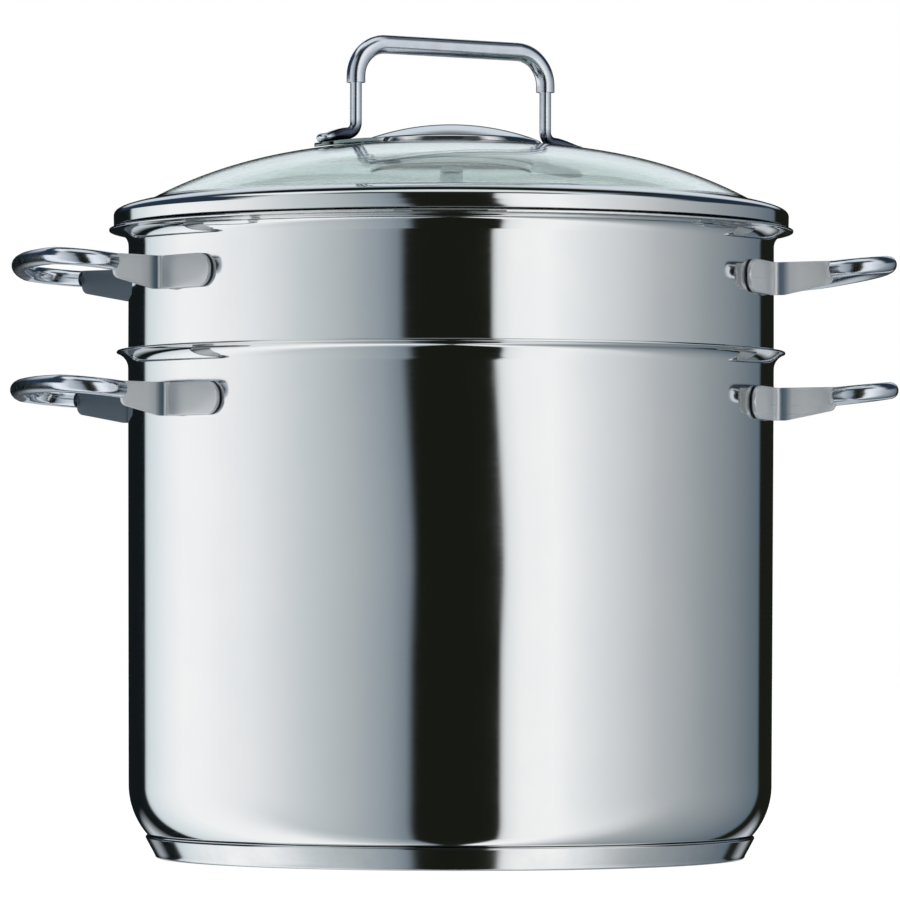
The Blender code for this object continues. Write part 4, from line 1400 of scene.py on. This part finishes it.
@dataclass
class Lid:
    """The lid's glass with its steel band, and the bead between them."""

    glass_centre: float = 0.2673
    glass_drop: float = 0.0226
    bend_radius: float = 0.1149
    fullness: float = 2.8
    thickness: float = 0.004
    hole: float = 0.0045
    dome_steps: int = 44
    outer_reach: float = 0.1142
    inner_reach: float = 0.1130
    flange: Sequence[Point] = ((0.1152, 0.2443), (0.1175, 0.2437), (0.1196, 0.24325))
    flange_under: Sequence[Point] = ((0.1180, 0.2396), (0.1155, 0.2401))
    edge_centre: Point = (0.1196, 0.24145)
    edge_bend: float = 0.0018
    band_radius: float = 0.1266
    band_bottom: float = 0.2357
    band_lip: Sequence[Point] = (
        (0.1150, 0.24465), (0.1152, 0.2450), (0.1158, 0.24497), (0.1183, 0.2444),
        (0.1205, 0.24385), (0.1220, 0.2434), (0.1232, 0.24302), (0.1242, 0.24262),
    )
    shoulder_start: Point = (0.1248, 0.2423)
    shoulder_corner: float = 0.2414
    shoulder_end: float = 0.2398
    sheet: float = 0.0006
    skirt_radius: float = 0.1193
    skirt_bottom: float = 0.2300
    bead_top: float = 0.2386

    def build(self, shop: Shop) -> None:
        """Model and dress the glass, the band and the bead."""
        shop.dress(self.glass(), "glass", "lid", "lid_glass")
        shop.dress(self.band(), "polished_steel", "lid", "lid_rim")
        shop.dress(self.bead(), "clear_silicone", "lid", "lid_bedding")

    def height(self, radius: float) -> float:
        """Height of the top of the glass at a radius."""
        return self.glass_centre - self.glass_drop * (abs(radius) / self.bend_radius) ** self.fullness

    def glass(self) -> bpy.types.Object:
        """Turn the domed glass: both faces, the ground edge and the hole in the middle."""
        outer = []
        for step in range(self.dome_steps + 1):
            radius = self.hole + (self.outer_reach - self.hole) * step / self.dome_steps
            outer.append((radius, self.height(radius)))
        outer += blend(outer[-1], self.flange[0], self.flange[1], 5)[1:] + [self.flange[2]]
        edge = arc(self.edge_centre, self.edge_bend, 80, -80, 9)
        steepest = self.glass_drop * self.fullness / self.bend_radius
        inner = list(self.flange_under)
        for step in range(self.dome_steps + 1):
            radius = self.hole + (self.inner_reach - self.hole) * (1 - step / self.dome_steps)
            slope = steepest * (radius / self.bend_radius) ** (self.fullness - 1)
            lean = sqrt(1 + slope * slope)
            inset = max(self.hole, radius - self.thickness * slope / lean)
            inner.append((inset, self.height(radius) - self.thickness / lean))
        end = (self.hole, inner[-1][1])
        inner = [p for p, q in zip(inner, inner[1:] + [(0, 0)]) if p[0] > q[0] + 1e-6] + [end]
        piece = turned("lid_dome", outer + edge + inner, 192, closed=True)
        smooth(piece, 40)
        return piece

    def band(self) -> bpy.types.Object:
        """Turn the band: over the glass, round the shoulder, down the face and in to the skirt."""
        corner = (self.band_radius, self.shoulder_corner)
        below = (self.band_radius, self.shoulder_end)
        profile = list(self.band_lip) + blend(self.shoulder_start, corner, below, 9)
        profile += arc((self.band_radius - 0.00047, self.band_bottom + 0.0004), 0.0004, 0, -90, 5)
        profile += arc((self.skirt_radius + 0.0006, self.band_bottom - 0.0006), 0.0006, 90, 180, 5)
        profile += [(self.skirt_radius, self.skirt_bottom)]
        piece = turned("lid_band", supported(profile), 192)
        thicken(piece, self.sheet)
        round_edges(piece, 0.0002, 60, 2)
        smooth(piece, 40)
        return piece

    def bead(self) -> bpy.types.Object:
        """Turn the silicone bead that the glass is set in, hollowed where it was wiped."""
        outer = self.band_radius - self.sheet - FIT
        inner = self.skirt_radius + 0.0002
        low = self.band_bottom + self.sheet + FIT
        top = self.bead_top
        wiped = [(outer - 0.0006, top + 0.0003), (inner + 0.0006, top + 0.0004)]
        profile = [(outer, low), (outer, top)] + wiped
        profile += blend((inner, top), (inner + 0.0008, top - 0.0012), (inner, low), 6)
        piece = turned("lid_bead", profile, 144, closed=True)
        smooth(piece, 40)
        return piece


@dataclass
class LidFittings:
    """What is bolted through the middle of the glass: strip, cap, cup, stud, nut and gasket."""

    lid: Lid
    turn: float = 20.0
    foot_reach: float = 0.058
    strip_width: float = 0.013
    strip_thickness: float = 0.0015
    cap_radius: float = 0.0343
    cap_sheet: float = 0.0008
    cap_top: float = 0.2747
    cap_bow: float = 0.093
    cap_shoulder: float = 0.0325
    cap_edge: Point = (0.03366, 0.2681)
    cap_corner: float = 0.0004
    cup_radius: float = 0.031
    cup_depth: float = 0.0045
    cup_corner: float = 0.0014
    cup_sheet: float = 0.0008
    washer_radius: float = 0.0096
    washer_half: float = 0.0004
    stud_radius: float = 0.0025
    head_radius: float = 0.0055
    head_height: float = 0.0015
    chamfer: float = 0.0002
    thread_pitch: float = 0.0004
    thread_depth: float = 0.00035
    tail: float = 0.0032
    nut_half: float = 0.004
    nut_height: float = 0.003
    drill_length: float = 0.01
    end_run: float = 0.0068

    def build(self, shop: Shop) -> None:
        """Model and dress the fittings."""
        shop.dress(self.strip(), "polished_steel", "lid", "lid_strap", look="strip")
        shop.dress(self.cap(), "polished_steel", "lid", "lid_cap")
        shop.dress(self.cup(), "polished_steel", "lid", "lid_cup")
        shop.dress(self.gasket(), "clear_silicone", "lid", "lid_seal_ring")
        shop.dress(self.stud(), "steel_tube", "lid", "lid_stud")
        shop.dress(self.nut(), "steel_tube", "lid", "lid_nut")

    def strip(self) -> bpy.types.Object:
        """Lead a flat strip over the glass from foot to foot, and round its ends."""
        half = self.strip_width / 2
        reach = self.foot_reach
        first = self.end_run
        piece = block("lid_strip", (first, self.strip_width, self.strip_thickness))
        raised = FIT + self.strip_thickness / 2
        steps = 40
        with editing(piece):
            start = self.lid.height(reach) + raised
            second = self.lid.height(reach - first) + raised
            bpy.ops.transform.translate(value=(-reach + first / 2, 0, start))
            pick(piece, "faces", lambda item: item.normal.x > 0.9)
            bpy.ops.transform.translate(value=(0, 0, second - start))
            at = -reach + first
            run = 2 * (reach - first) / steps
            for _ in range(steps):
                step = (run, 0, self.lid.height(at + run) - self.lid.height(at))
                bpy.ops.mesh.extrude_region_move(TRANSFORM_OT_translate={"value": step})
                at += run
            last = (first, 0, self.lid.height(at + first) - self.lid.height(at))
            bpy.ops.mesh.extrude_region_move(TRANSFORM_OT_translate={"value": last})
            pick(
                piece, "edges",
                lambda item: all(abs(v.co.x) > reach - 0.0001 for v in item.verts)
                and abs(item.verts[0].co.z - item.verts[1].co.z) > 0.001
                and abs(item.verts[0].co.y) > half - 0.0001,
            )
            bpy.ops.mesh.bevel(offset=half * 0.9, segments=10, affect="EDGES")
            bpy.ops.mesh.select_all(action="SELECT")
        round_edges(piece, 0.0003, 50)
        cut_out(piece, self.drill(self.lid.glass_centre, 32))
        placed(piece, turn=radians(self.turn))
        smooth(piece, 35)
        return piece

    def drill(self, height: float, sides: int) -> bpy.types.Object:
        """Make the drill for the stud's clearance hole, with its middle at a height."""
        return rod("stud_drill", self.stud_radius + FIT, self.drill_length, height, sides)

    def crown(self, reach: float) -> float:
        """Height of the cap's top at a distance from its middle."""
        return self.cap_top - self.cap_bow + sqrt(self.cap_bow ** 2 - reach ** 2)

    def cap(self) -> bpy.types.Object:
        """Turn the crowned cap with its short sloping skirt, and notch it for the strip."""
        foot = self.lid.height(self.cap_radius) + FIT
        reaches = [self.cap_shoulder * step / 12 for step in range(13)]
        profile = [(reach, self.crown(reach)) for reach in reaches]
        corner = self.cap_edge[0] - self.cap_corner
        profile += blend(profile[-1], (corner, self.crown(corner)), self.cap_edge, 6)[1:]
        profile += [(self.cap_radius, foot)]
        piece = turned("lid_cover_cap", supported(profile), 160)
        thicken(piece, self.cap_sheet)
        strip_top = self.lid.height(self.cap_edge[0]) + FIT + self.strip_thickness
        size = (2 * self.foot_reach, self.strip_width + 2 * FIT, 2 * (strip_top + FIT - foot))
        notch = block("cap_notch", size, foot)
        placed(notch, turn=radians(self.turn))
        cut_out(piece, notch)
        smooth(piece, 40)
        return piece

    def cup(self) -> bpy.types.Object:
        """Turn the shallow cup that the nut pulls up against the glass."""
        bottom = self.lid.glass_centre - self.lid.thickness - self.cup_depth
        top = self.lid.height(self.cup_radius) - self.lid.thickness - FIT
        bend = self.cup_corner
        profile = [(self.cup_radius, top)] + arc((self.cup_radius - bend, bottom + bend), bend, 0, -90, 7)
        profile += [(0.012, bottom), (self.stud_radius + FIT, bottom)]
        piece = turned("lid_inner_cup", supported(profile), 128)
        thicken(piece, self.cup_sheet)
        round_edges(piece, 0.0002, 60, 2)
        smooth(piece, 40)
        return piece

    def gasket(self) -> bpy.types.Object:
        """Turn the sleeve in the glass's hole, with its flange below the glass."""
        sleeve = self.lid.hole - FIT
        flange = self.lid.glass_centre - self.lid.thickness - FIT
        bore = self.stud_radius + FIT
        profile = [(bore, self.lid.glass_centre), (sleeve, self.lid.glass_centre), (sleeve, flange)]
        half = self.washer_half
        profile += [(self.washer_radius + 0.0001, flange)]
        profile += arc((self.washer_radius, flange - half), half, 80, -80, 6)
        profile += [(bore, flange - 2 * half)]
        piece = turned("lid_gasket", profile, 64, closed=True)
        smooth(piece, 40)
        return piece

    def stud(self) -> bpy.types.Object:
        """Turn the stud with its welded head, its thread as rings, and a chamfered end."""
        head, chamfer = self.head_radius, self.chamfer
        head_top = self.crown(head) - self.cap_sheet - FIT
        head_low = head_top - self.head_height
        tail = self.nut_top() - self.nut_height - self.tail
        profile = [(0, head_top), (head - chamfer, head_top), (head, head_top - chamfer),
                   (head, head_low + chamfer), (head - chamfer, head_low), (self.stud_radius, head_low)]
        height = self.lid.glass_centre - self.lid.thickness
        while height > tail + 0.0008:
            root = (self.stud_radius - self.thread_depth, height - self.thread_pitch / 2)
            profile += [(self.stud_radius, height), root]
            height -= self.thread_pitch
        profile += [(self.stud_radius, tail + 0.0006), (self.stud_radius - 0.0006, tail), (0, tail)]
        piece = turned("lid_bolt", profile, 40)
        smooth(piece, 35)
        return piece

    def nut_top(self) -> float:
        """Height of the face of the nut that bears on the cup."""
        return self.lid.glass_centre - self.lid.thickness - self.cup_depth - FIT

    def nut(self) -> bpy.types.Object:
        """Cut the hexagon nut from a six-sided bar, with its corners turned off and its bore cut."""
        middle = self.nut_top() - self.nut_height / 2
        piece = rod("lid_hex_nut", self.nut_half / cos(pi / 6), self.nut_height, middle, 6)
        with editing(piece):
            pick(piece, "verts", lambda item: True)
            bpy.ops.mesh.bevel(offset=0.00035, segments=2, affect="VERTICES")
        round_edges(piece, 0.00015, 40, 2)
        cut_out(piece, self.drill(middle, 40))
        smooth(piece, 35)
        return piece


@dataclass
class LidHandle:
    """The lid's handle: two bent legs with flattened feet, and the thicker tube that they stand in."""

    fittings: LidFittings
    reach: float = 0.0415
    leg_radius: float = 0.0022
    bend: float = 0.004
    foot_rise: float = 0.0001
    foot_half: float = 0.0016
    foot_width: float = 0.0075
    tube_radius: float = 0.0035
    tube_wall: float = 0.0009
    tube_end: float = 0.2888
    top: float = 0.30715
    corner: float = 0.0125
    tenon: float = 0.005
    tenon_spare: float = 0.0004
    tip: float = 0.0008

    def build(self, shop: Shop) -> None:
        """Model and dress both legs and the grip."""
        leg = self.leg()
        turn = radians(self.fittings.turn)
        for end in End:
            piece = copy_of(leg, f"lid_leg_wire_{end.name.lower()}")
            placed(piece, flip=(end.value, 1))
            placed(piece, turn=turn)
            smooth(piece, 45)
            shop.dress(piece, "steel_tube", "lid", f"lid_leg_{end.name.lower()}", look="leg")
        bpy.data.objects.remove(leg, do_unlink=True)
        grip = self.grip()
        placed(grip, turn=turn)
        smooth(grip, 40)
        shop.dress(grip, "steel_tube", "lid", "lid_grip")

    def leg(self) -> bpy.types.Object:
        """Bend a round rod outwards at its heel and hammer its foot flat.

        Returns:
            The leg at +X, before the handle's turn.
        """
        lid = self.fittings.lid
        face = FIT + self.fittings.strip_thickness
        heel = self.reach + self.bend
        foot_end = self.fittings.foot_reach - self.foot_half
        slope = (lid.height(heel) - lid.height(foot_end)) / (foot_end - heel)
        heel_height = lid.height(heel) + face + self.leg_radius
        top = self.tube_end + self.tenon - self.tenon_spare
        clear_selection()
        bpy.ops.mesh.primitive_circle_add(
            vertices=20, radius=self.leg_radius, fill_type="NGON", location=(self.reach, 0, top)
        )
        piece = bpy.context.object
        piece.name = "leg_pattern"
        bpy.ops.object.transform_apply(location=True, rotation=False, scale=False)
        with editing(piece):
            centre = (heel, 0, heel_height + self.bend + self.foot_rise)
            for stop in (top - 0.001, centre[2] + 0.001, centre[2]):
                now = max(v.co.z for v in bmesh.from_edit_mesh(piece.data).verts if v.select)
                bpy.ops.mesh.extrude_region_move(TRANSFORM_OT_translate={"value": (0, 0, stop - now)})
            lean = atan2(slope + (self.foot_rise + self.leg_radius - self.foot_half) / (foot_end - heel), 1)
            bpy.ops.mesh.spin(steps=10, angle=pi / 2 - lean, center=centre, axis=(0, 1, 0))
            self.flatten(piece, slope, foot_end, face)
            face_outwards(piece)
        round_edges(piece, 0.0004, 60, 3)
        return piece

    def flatten(self, piece: bpy.types.Object, slope: float, foot_end: float, face: float) -> None:
        """Lead the rod out along the strip as a flat foot with a rounded end.

        Args:
            piece: The leg in edit mode, with the end of its bend selected.
            slope: Fall of the foot over its length; not used.
            foot_end: Distance of the foot's end from the axis.
            face: Height of the strip's top above the glass.
        """
        lid = self.fittings.lid
        wide = self.foot_width / 2 / self.leg_radius
        flat = self.foot_half / self.leg_radius
        shares = ((0.16, 1.04, 1.0), (0.34, 1.18, 0.94), (0.52, 1.42, 0.85), (0.68, wide * 0.98, 0.76),
                  (0.82, wide, 0.68), (0.91, wide * 0.93, flat), (0.97, wide * 0.72, flat * 0.86),
                  (1.0, wide * 0.45, flat * 0.6))
        ring = [v for v in bmesh.from_edit_mesh(piece.data).verts if v.select]
        start = sum((v.co for v in ring), Vector()) / len(ring)
        at = start.copy()
        before = (1.0, 1.0)
        for share, across, thick in shares:
            reach = start.x + (foot_end + self.tip - start.x) * share
            rest = lid.height(reach) + face + self.leg_radius * thick + self.foot_rise * (1 - share)
            step = (reach - at.x, 0, rest - at.z)
            bpy.ops.mesh.extrude_region_move(TRANSFORM_OT_translate={"value": step})
            at = Vector((reach, 0, rest))
            bpy.ops.transform.resize(
                value=(1, across / before[0], thick / before[1]), center_override=tuple(at)
            )
            before = (across, thick)

    def grip(self) -> bpy.types.Object:
        """Bend the grip's tube over both corners and bore its ends."""
        height = self.top - self.tube_radius - self.corner
        half = [(self.reach, self.tube_end)]
        half += arc((self.reach - self.corner, height), self.corner, 0, 90, 14)
        outline = half + [(-reach, up) for reach, up in reversed(half)]
        line = [Vector((reach, 0, up)) for reach, up in outline]
        piece = tube("lid_tube_grip", line, self.tube_radius, 32)
        bore_ends(piece, line, self.tube_wall, self.tenon + self.tenon_spare)
        return piece


# The studio


@dataclass
class Studio:
    """A pale floor, the light panels and dark flags that the steel mirrors, and the camera.

    Angles are in degrees. Round the pot they count from the camera, plus to the camera's right.
    """

    turn: float = -11.0
    distance: float = 2.213
    height: float = 0.099
    aim: Vector = field(default_factory=lambda: Vector((-0.0003, 0, 0.1526)))
    focal: float = 236.0
    roll: float = 0.12
    level: float = 1.16
    widening: float = -0.2
    front_share: float = 0.3
    shear: float = 1.9
    shear_lift: float = 0.2
    shear_from: float = -0.8
    shear_to: float = 2.5
    sheared: Point = (62, 30)
    dark: Sequence[float] = (0.010, 0.011, 0.008, 1)
    front: Point = (66, 50)
    behind: Point = (150, 160)
    right: Sequence[float] = (80, 96, 150, 160)
    left: Sequence[float] = (-70, -84, -150, -160)
    ring: Sequence[Point] = ((-90, 0.0), (40, 0.0), (47, 0.96), (64, 0.96), (70, 0.0), (90, 0.0))
    zenith: Sequence[Point] = ((-90, 0.0), (64, 0.0), (73, 1.0), (90, 1.0))
    right_wall: Sequence[Point] = ((-90, 0.0), (9, 0.0), (16, 1.0), (56, 1.0), (63, 0.0), (90, 0.0))
    left_wall: Sequence[Point] = ((-90, 0.0), (4.25, 0.0), (4.7, 1.0), (44, 1.0), (50, 0.0), (90, 0.0))
    back_high: Sequence[Point] = ((-90, 0.0), (12, 0.0), (17, 1.0), (28, 1.0), (37, 0.0), (90, 0.0))
    back_down: Sequence[Point] = ((-90, 1.0), (-14, 1.0), (-9, 0.0), (90, 0.0))

    def build(self) -> None:
        """Set up the light, the floor, the camera and the plain view transform."""
        self.light()
        self.ground()
        self.camera()
        bpy.context.scene.view_settings.view_transform = "Standard"

    def light(self) -> None:
        """Light the pot with the graded world, which the camera itself sees as plain white."""
        world = bpy.data.worlds.new("studio")
        bpy.context.scene.world = world
        world.use_nodes = True
        tree = world.node_tree
        tree.nodes.clear()
        around, panel, level = self.bearings(tree)
        colour = self.graded(tree, around, panel, level)
        seen = seen_straight(tree)
        lit = node(tree, "ShaderNodeBackground", {"Strength": self.level}, {"Color": colour})
        plain = node(tree, "ShaderNodeBackground", {"Color": (1, 1, 1, 1), "Strength": 1.0}, {})
        both = node(
            tree, "ShaderNodeMixShader", {},
            {"Fac": seen, 1: lit.outputs["Background"], 2: plain.outputs["Background"]},
        )
        node(tree, "ShaderNodeOutputWorld", {}, {"Surface": both.outputs["Shader"]})

    def bearings(self, tree: bpy.types.NodeTree) -> tuple[Any, Any, Any]:
        """Measure where a direction of the world lies, as the camera stands.

        In front, the panels are read by the direction's sideways part, a little wider with height, and
        they lean over towards the level of the camera.

        Args:
            tree: The world's node tree.

        Returns:
            The angle round the pot, the angle at which the panels are read, and the elevation.
        """
        place = node(tree, "ShaderNodeTexCoord", {}, {}).outputs["Generated"]
        facing = node(
            tree, "ShaderNodeMapping", {"Rotation": (0, 0, radians(-self.turn))}, {"Vector": place}
        ).outputs["Vector"]
        parts = node(tree, "ShaderNodeSeparateXYZ", {}, {"Vector": facing}).outputs
        ahead = node(
            tree, "ShaderNodeMath", {"operation": "MULTIPLY", 1: -1.0}, {0: parts["Y"]}
        ).outputs["Value"]
        around = node(
            tree, "ShaderNodeMath", {"operation": "ARCTAN2"}, {0: parts["X"], 1: ahead}
        ).outputs["Value"]
        down = node(
            tree, "ShaderNodeMath", {"operation": "MULTIPLY", 1: -1.0}, {0: parts["Z"]}
        ).outputs["Value"]
        steep = node(
            tree, "ShaderNodeMath", {"operation": "MULTIPLY_ADD", 2: 1.001}, {0: parts["Z"], 1: down}
        ).outputs["Value"]
        widen = node(
            tree, "ShaderNodeMath", {"operation": "POWER", 1: self.widening}, {0: steep}
        ).outputs["Value"]
        widened = node(
            tree, "ShaderNodeMath", {"operation": "MULTIPLY"}, {0: parts["X"], 1: widen}
        ).outputs["Value"]
        clipped = node(
            tree, "ShaderNodeClamp", {"Min": -1.0, "Max": 1.0}, {"Value": widened}
        ).outputs["Result"]
        sideways = node(tree, "ShaderNodeMath", {"operation": "ARCSINE"}, {0: clipped}).outputs["Value"]
        level = node(tree, "ShaderNodeMath", {"operation": "ARCSINE"}, {0: parts["Z"]}).outputs["Value"]
        in_front = node(
            tree, "ShaderNodeMapRange", {"From Min": 0.0, "From Max": self.front_share}, {"Value": ahead}
        ).outputs["Result"]
        lifted = node(
            tree, "ShaderNodeMath", {"operation": "ADD", 1: radians(self.shear_lift)}, {0: level}
        ).outputs["Value"]
        kept = node(
            tree, "ShaderNodeClamp", {"Min": radians(self.shear_from), "Max": radians(self.shear_to)},
            {"Value": lifted},
        ).outputs["Result"]
        steepness = node(tree, "ShaderNodeMath", {"operation": "ABSOLUTE"}, {0: kept}).outputs["Value"]
        sheer = node(
            tree, "ShaderNodeMath", {"operation": "MULTIPLY", 1: self.shear}, {0: steepness}
        ).outputs["Value"]
        turning = node(
            tree, "ShaderNodeMath", {"operation": "SUBTRACT"}, {0: sideways, 1: around}
        ).outputs["Value"]
        angle = node(
            tree, "ShaderNodeMath", {"operation": "MULTIPLY_ADD"}, {0: turning, 1: in_front, 2: around}
        ).outputs["Value"]
        away = node(tree, "ShaderNodeMath", {"operation": "ABSOLUTE"}, {0: angle}).outputs["Value"]
        near = node(
            tree, "ShaderNodeMapRange",
            {"From Min": radians(self.sheared[0]), "From Max": radians(self.sheared[1])}, {"Value": away},
        ).outputs["Result"]
        panel = node(
            tree, "ShaderNodeMath", {"operation": "MULTIPLY_ADD"}, {0: sheer, 1: near, 2: angle}
        ).outputs["Value"]
        return around, panel, level

    def graded(self, tree: bpy.types.NodeTree, around: Any, panel: Any, level: Any) -> Any:
        """Grade the world by direction: panels at both sides, a flag at the camera, flags behind.

        Args:
            tree: The world's node tree.
            around: The angle round the pot.
            panel: The angle at which the panels are read.
            level: The elevation.

        Returns:
            The light's colour as a socket.
        """
        share = node(
            tree, "ShaderNodeMapRange", {"From Min": -pi, "From Max": pi}, {"Value": panel}
        ).outputs["Result"]
        rise = node(
            tree, "ShaderNodeMapRange", {"From Min": -pi / 2, "From Max": pi / 2}, {"Value": level}
        ).outputs["Result"]
        panels = [(0.5 + at / 360, tone) for at, tone in self.panels()]
        colour = node(tree, "ShaderNodeValToRGB", {"stops": panels}, {"Fac": share}).outputs["Color"]
        away = node(tree, "ShaderNodeMath", {"operation": "ABSOLUTE"}, {0: around}).outputs["Value"]
        front = self.between(tree, away, self.front)
        right = self.between(tree, around, self.right)
        left = self.between(tree, around, self.left)
        behind = self.between(tree, away, self.behind)
        for zone, tone, elevations in (
            (front, (0.02, 0.025, 0.03, 1), self.ring),
            (None, (0.76, 0.82, 0.84, 1), self.zenith),
            (right, (0.016, 0.03, 0.05, 1), self.right_wall),
            (left, (0.020, 0.038, 0.068, 1), self.left_wall),
            (behind, (0.60, 0.66, 0.72, 1), self.back_high),
            (behind, (0.50, 0.54, 0.58, 1), self.back_down),
        ):
            stops = [((angle + 90) / 180, value) for angle, value in elevations]
            amount = node(tree, "ShaderNodeValToRGB", {"stops": stops}, {"Fac": rise}).outputs["Color"]
            if zone is not None:
                amount = node(
                    tree, "ShaderNodeMath", {"operation": "MULTIPLY"}, {0: amount, 1: zone}
                ).outputs["Value"]
            colour = node(
                tree, "ShaderNodeMixRGB", {"Color2": tone}, {"Fac": amount, "Color1": colour}
            ).outputs["Color"]
        return colour

    @staticmethod
    def between(tree: bpy.types.NodeTree, angle: Any, edges: Sequence[float]) -> Any:
        """Mark the directions of a zone, with soft edges.

        Args:
            tree: The world's node tree.
            angle: The angle that the zone is measured by.
            edges: Where the zone begins and has fully begun, and for a zone that ends, where it begins
                to end and has ended.

        Returns:
            A socket that is 1 in the zone and 0 out of it.
        """
        marks = []
        sides = [edges[:2]] if len(edges) == 2 else [edges[:2], (edges[3], edges[2])]
        for outside, inside in sides:
            reach = {"From Min": radians(outside), "From Max": radians(inside)}
            marks.append(
                node(tree, "ShaderNodeMapRange", reach, {"Value": angle}).outputs["Result"]
            )
        if len(marks) == 1:
            return marks[0]
        return node(
            tree, "ShaderNodeMath", {"operation": "MULTIPLY"}, {0: marks[0], 1: marks[1]}
        ).outputs["Value"]

    def panels(self) -> list[tuple[float, Any]]:
        """List the light round the pot.

        Returns:
            Angles round the pot from behind on the left to behind on the right, each with its colour.
        """
        flag = (0.006, 0.009, 0.010, 1)
        return [
            (-180, flag), (-140.5, flag),
            (-138.8, (0.62, 0.69, 0.73, 1)), (-134, (0.72, 0.78, 0.81, 1)), (-122, (0.88, 0.91, 0.93, 1)),
            (-110, (1.0, 1.0, 1.0, 1)), (-97, (0.98, 0.98, 0.99, 1)),
            (-74, (0.86, 0.87, 0.89, 1)), (-53, (0.62, 0.66, 0.68, 1)), (-33, (0.45, 0.49, 0.51, 1)),
            (-20, (0.30, 0.35, 0.39, 1)), (-13.8, (0.20, 0.24, 0.28, 1)),
            (-11.0, self.dark), (19.2, self.dark),
            (19.8, (0.80, 0.82, 0.82, 1)), (26, (0.97, 0.97, 0.97, 1)), (38, (1.0, 1.0, 1.0, 1)),
            (56, (0.74, 0.76, 0.78, 1)), (78, (0.50, 0.52, 0.54, 1)), (104, (0.305, 0.34, 0.36, 1)),
            (130, (0.17, 0.205, 0.235, 1)), (142.5, (0.115, 0.155, 0.19, 1)),
            (144.5, self.dark), (180, self.dark),
        ]

    def ground(self) -> None:
        """Lay the pale floor."""
        clear_selection()
        bpy.ops.mesh.primitive_plane_add(size=9, location=(0, 0, -0.0002))
        floor = bpy.context.object
        floor.name = "floor"
        with editing(floor):
            bpy.ops.mesh.subdivide(number_cuts=6)
        floor.data.materials.append(MattFloor().material())
        floor.visible_glossy = False

    def camera(self) -> None:
        """Set the camera where the photograph was taken from."""
        turn = radians(self.turn)
        spot = (sin(turn) * self.distance, -cos(turn) * self.distance, self.height)
        bpy.ops.object.camera_add(location=spot)
        camera = bpy.context.object
        camera.data.lens = self.focal
        camera.data.sensor_width = 36.0
        camera.data.clip_start = 0.05
        camera.data.clip_end = 60.0
        gaze = self.aim - camera.location
        aimed = gaze.to_track_quat("-Z", "Y").to_matrix() @ Matrix.Rotation(radians(self.roll), 3, "Z")
        camera.rotation_euler = aimed.to_euler()
        bpy.context.scene.camera = camera


def main() -> None:
    """Build every sub-assembly, dress it, and set up the studio."""
    logging.basicConfig(level=logging.INFO, format="%(message)s")
    shop = Shop()
    shop.stock()
    shop.dress_solids()
    Vessel().build(shop)
    Basket().build(shop)
    LoopHandle().build(shop)
    lid = Lid()
    lid.build(shop)
    fittings = LidFittings(lid)
    fittings.build(shop)
    LidHandle(fittings).build(shop)
    Studio().build()


if __name__ == "__main__":
    main()
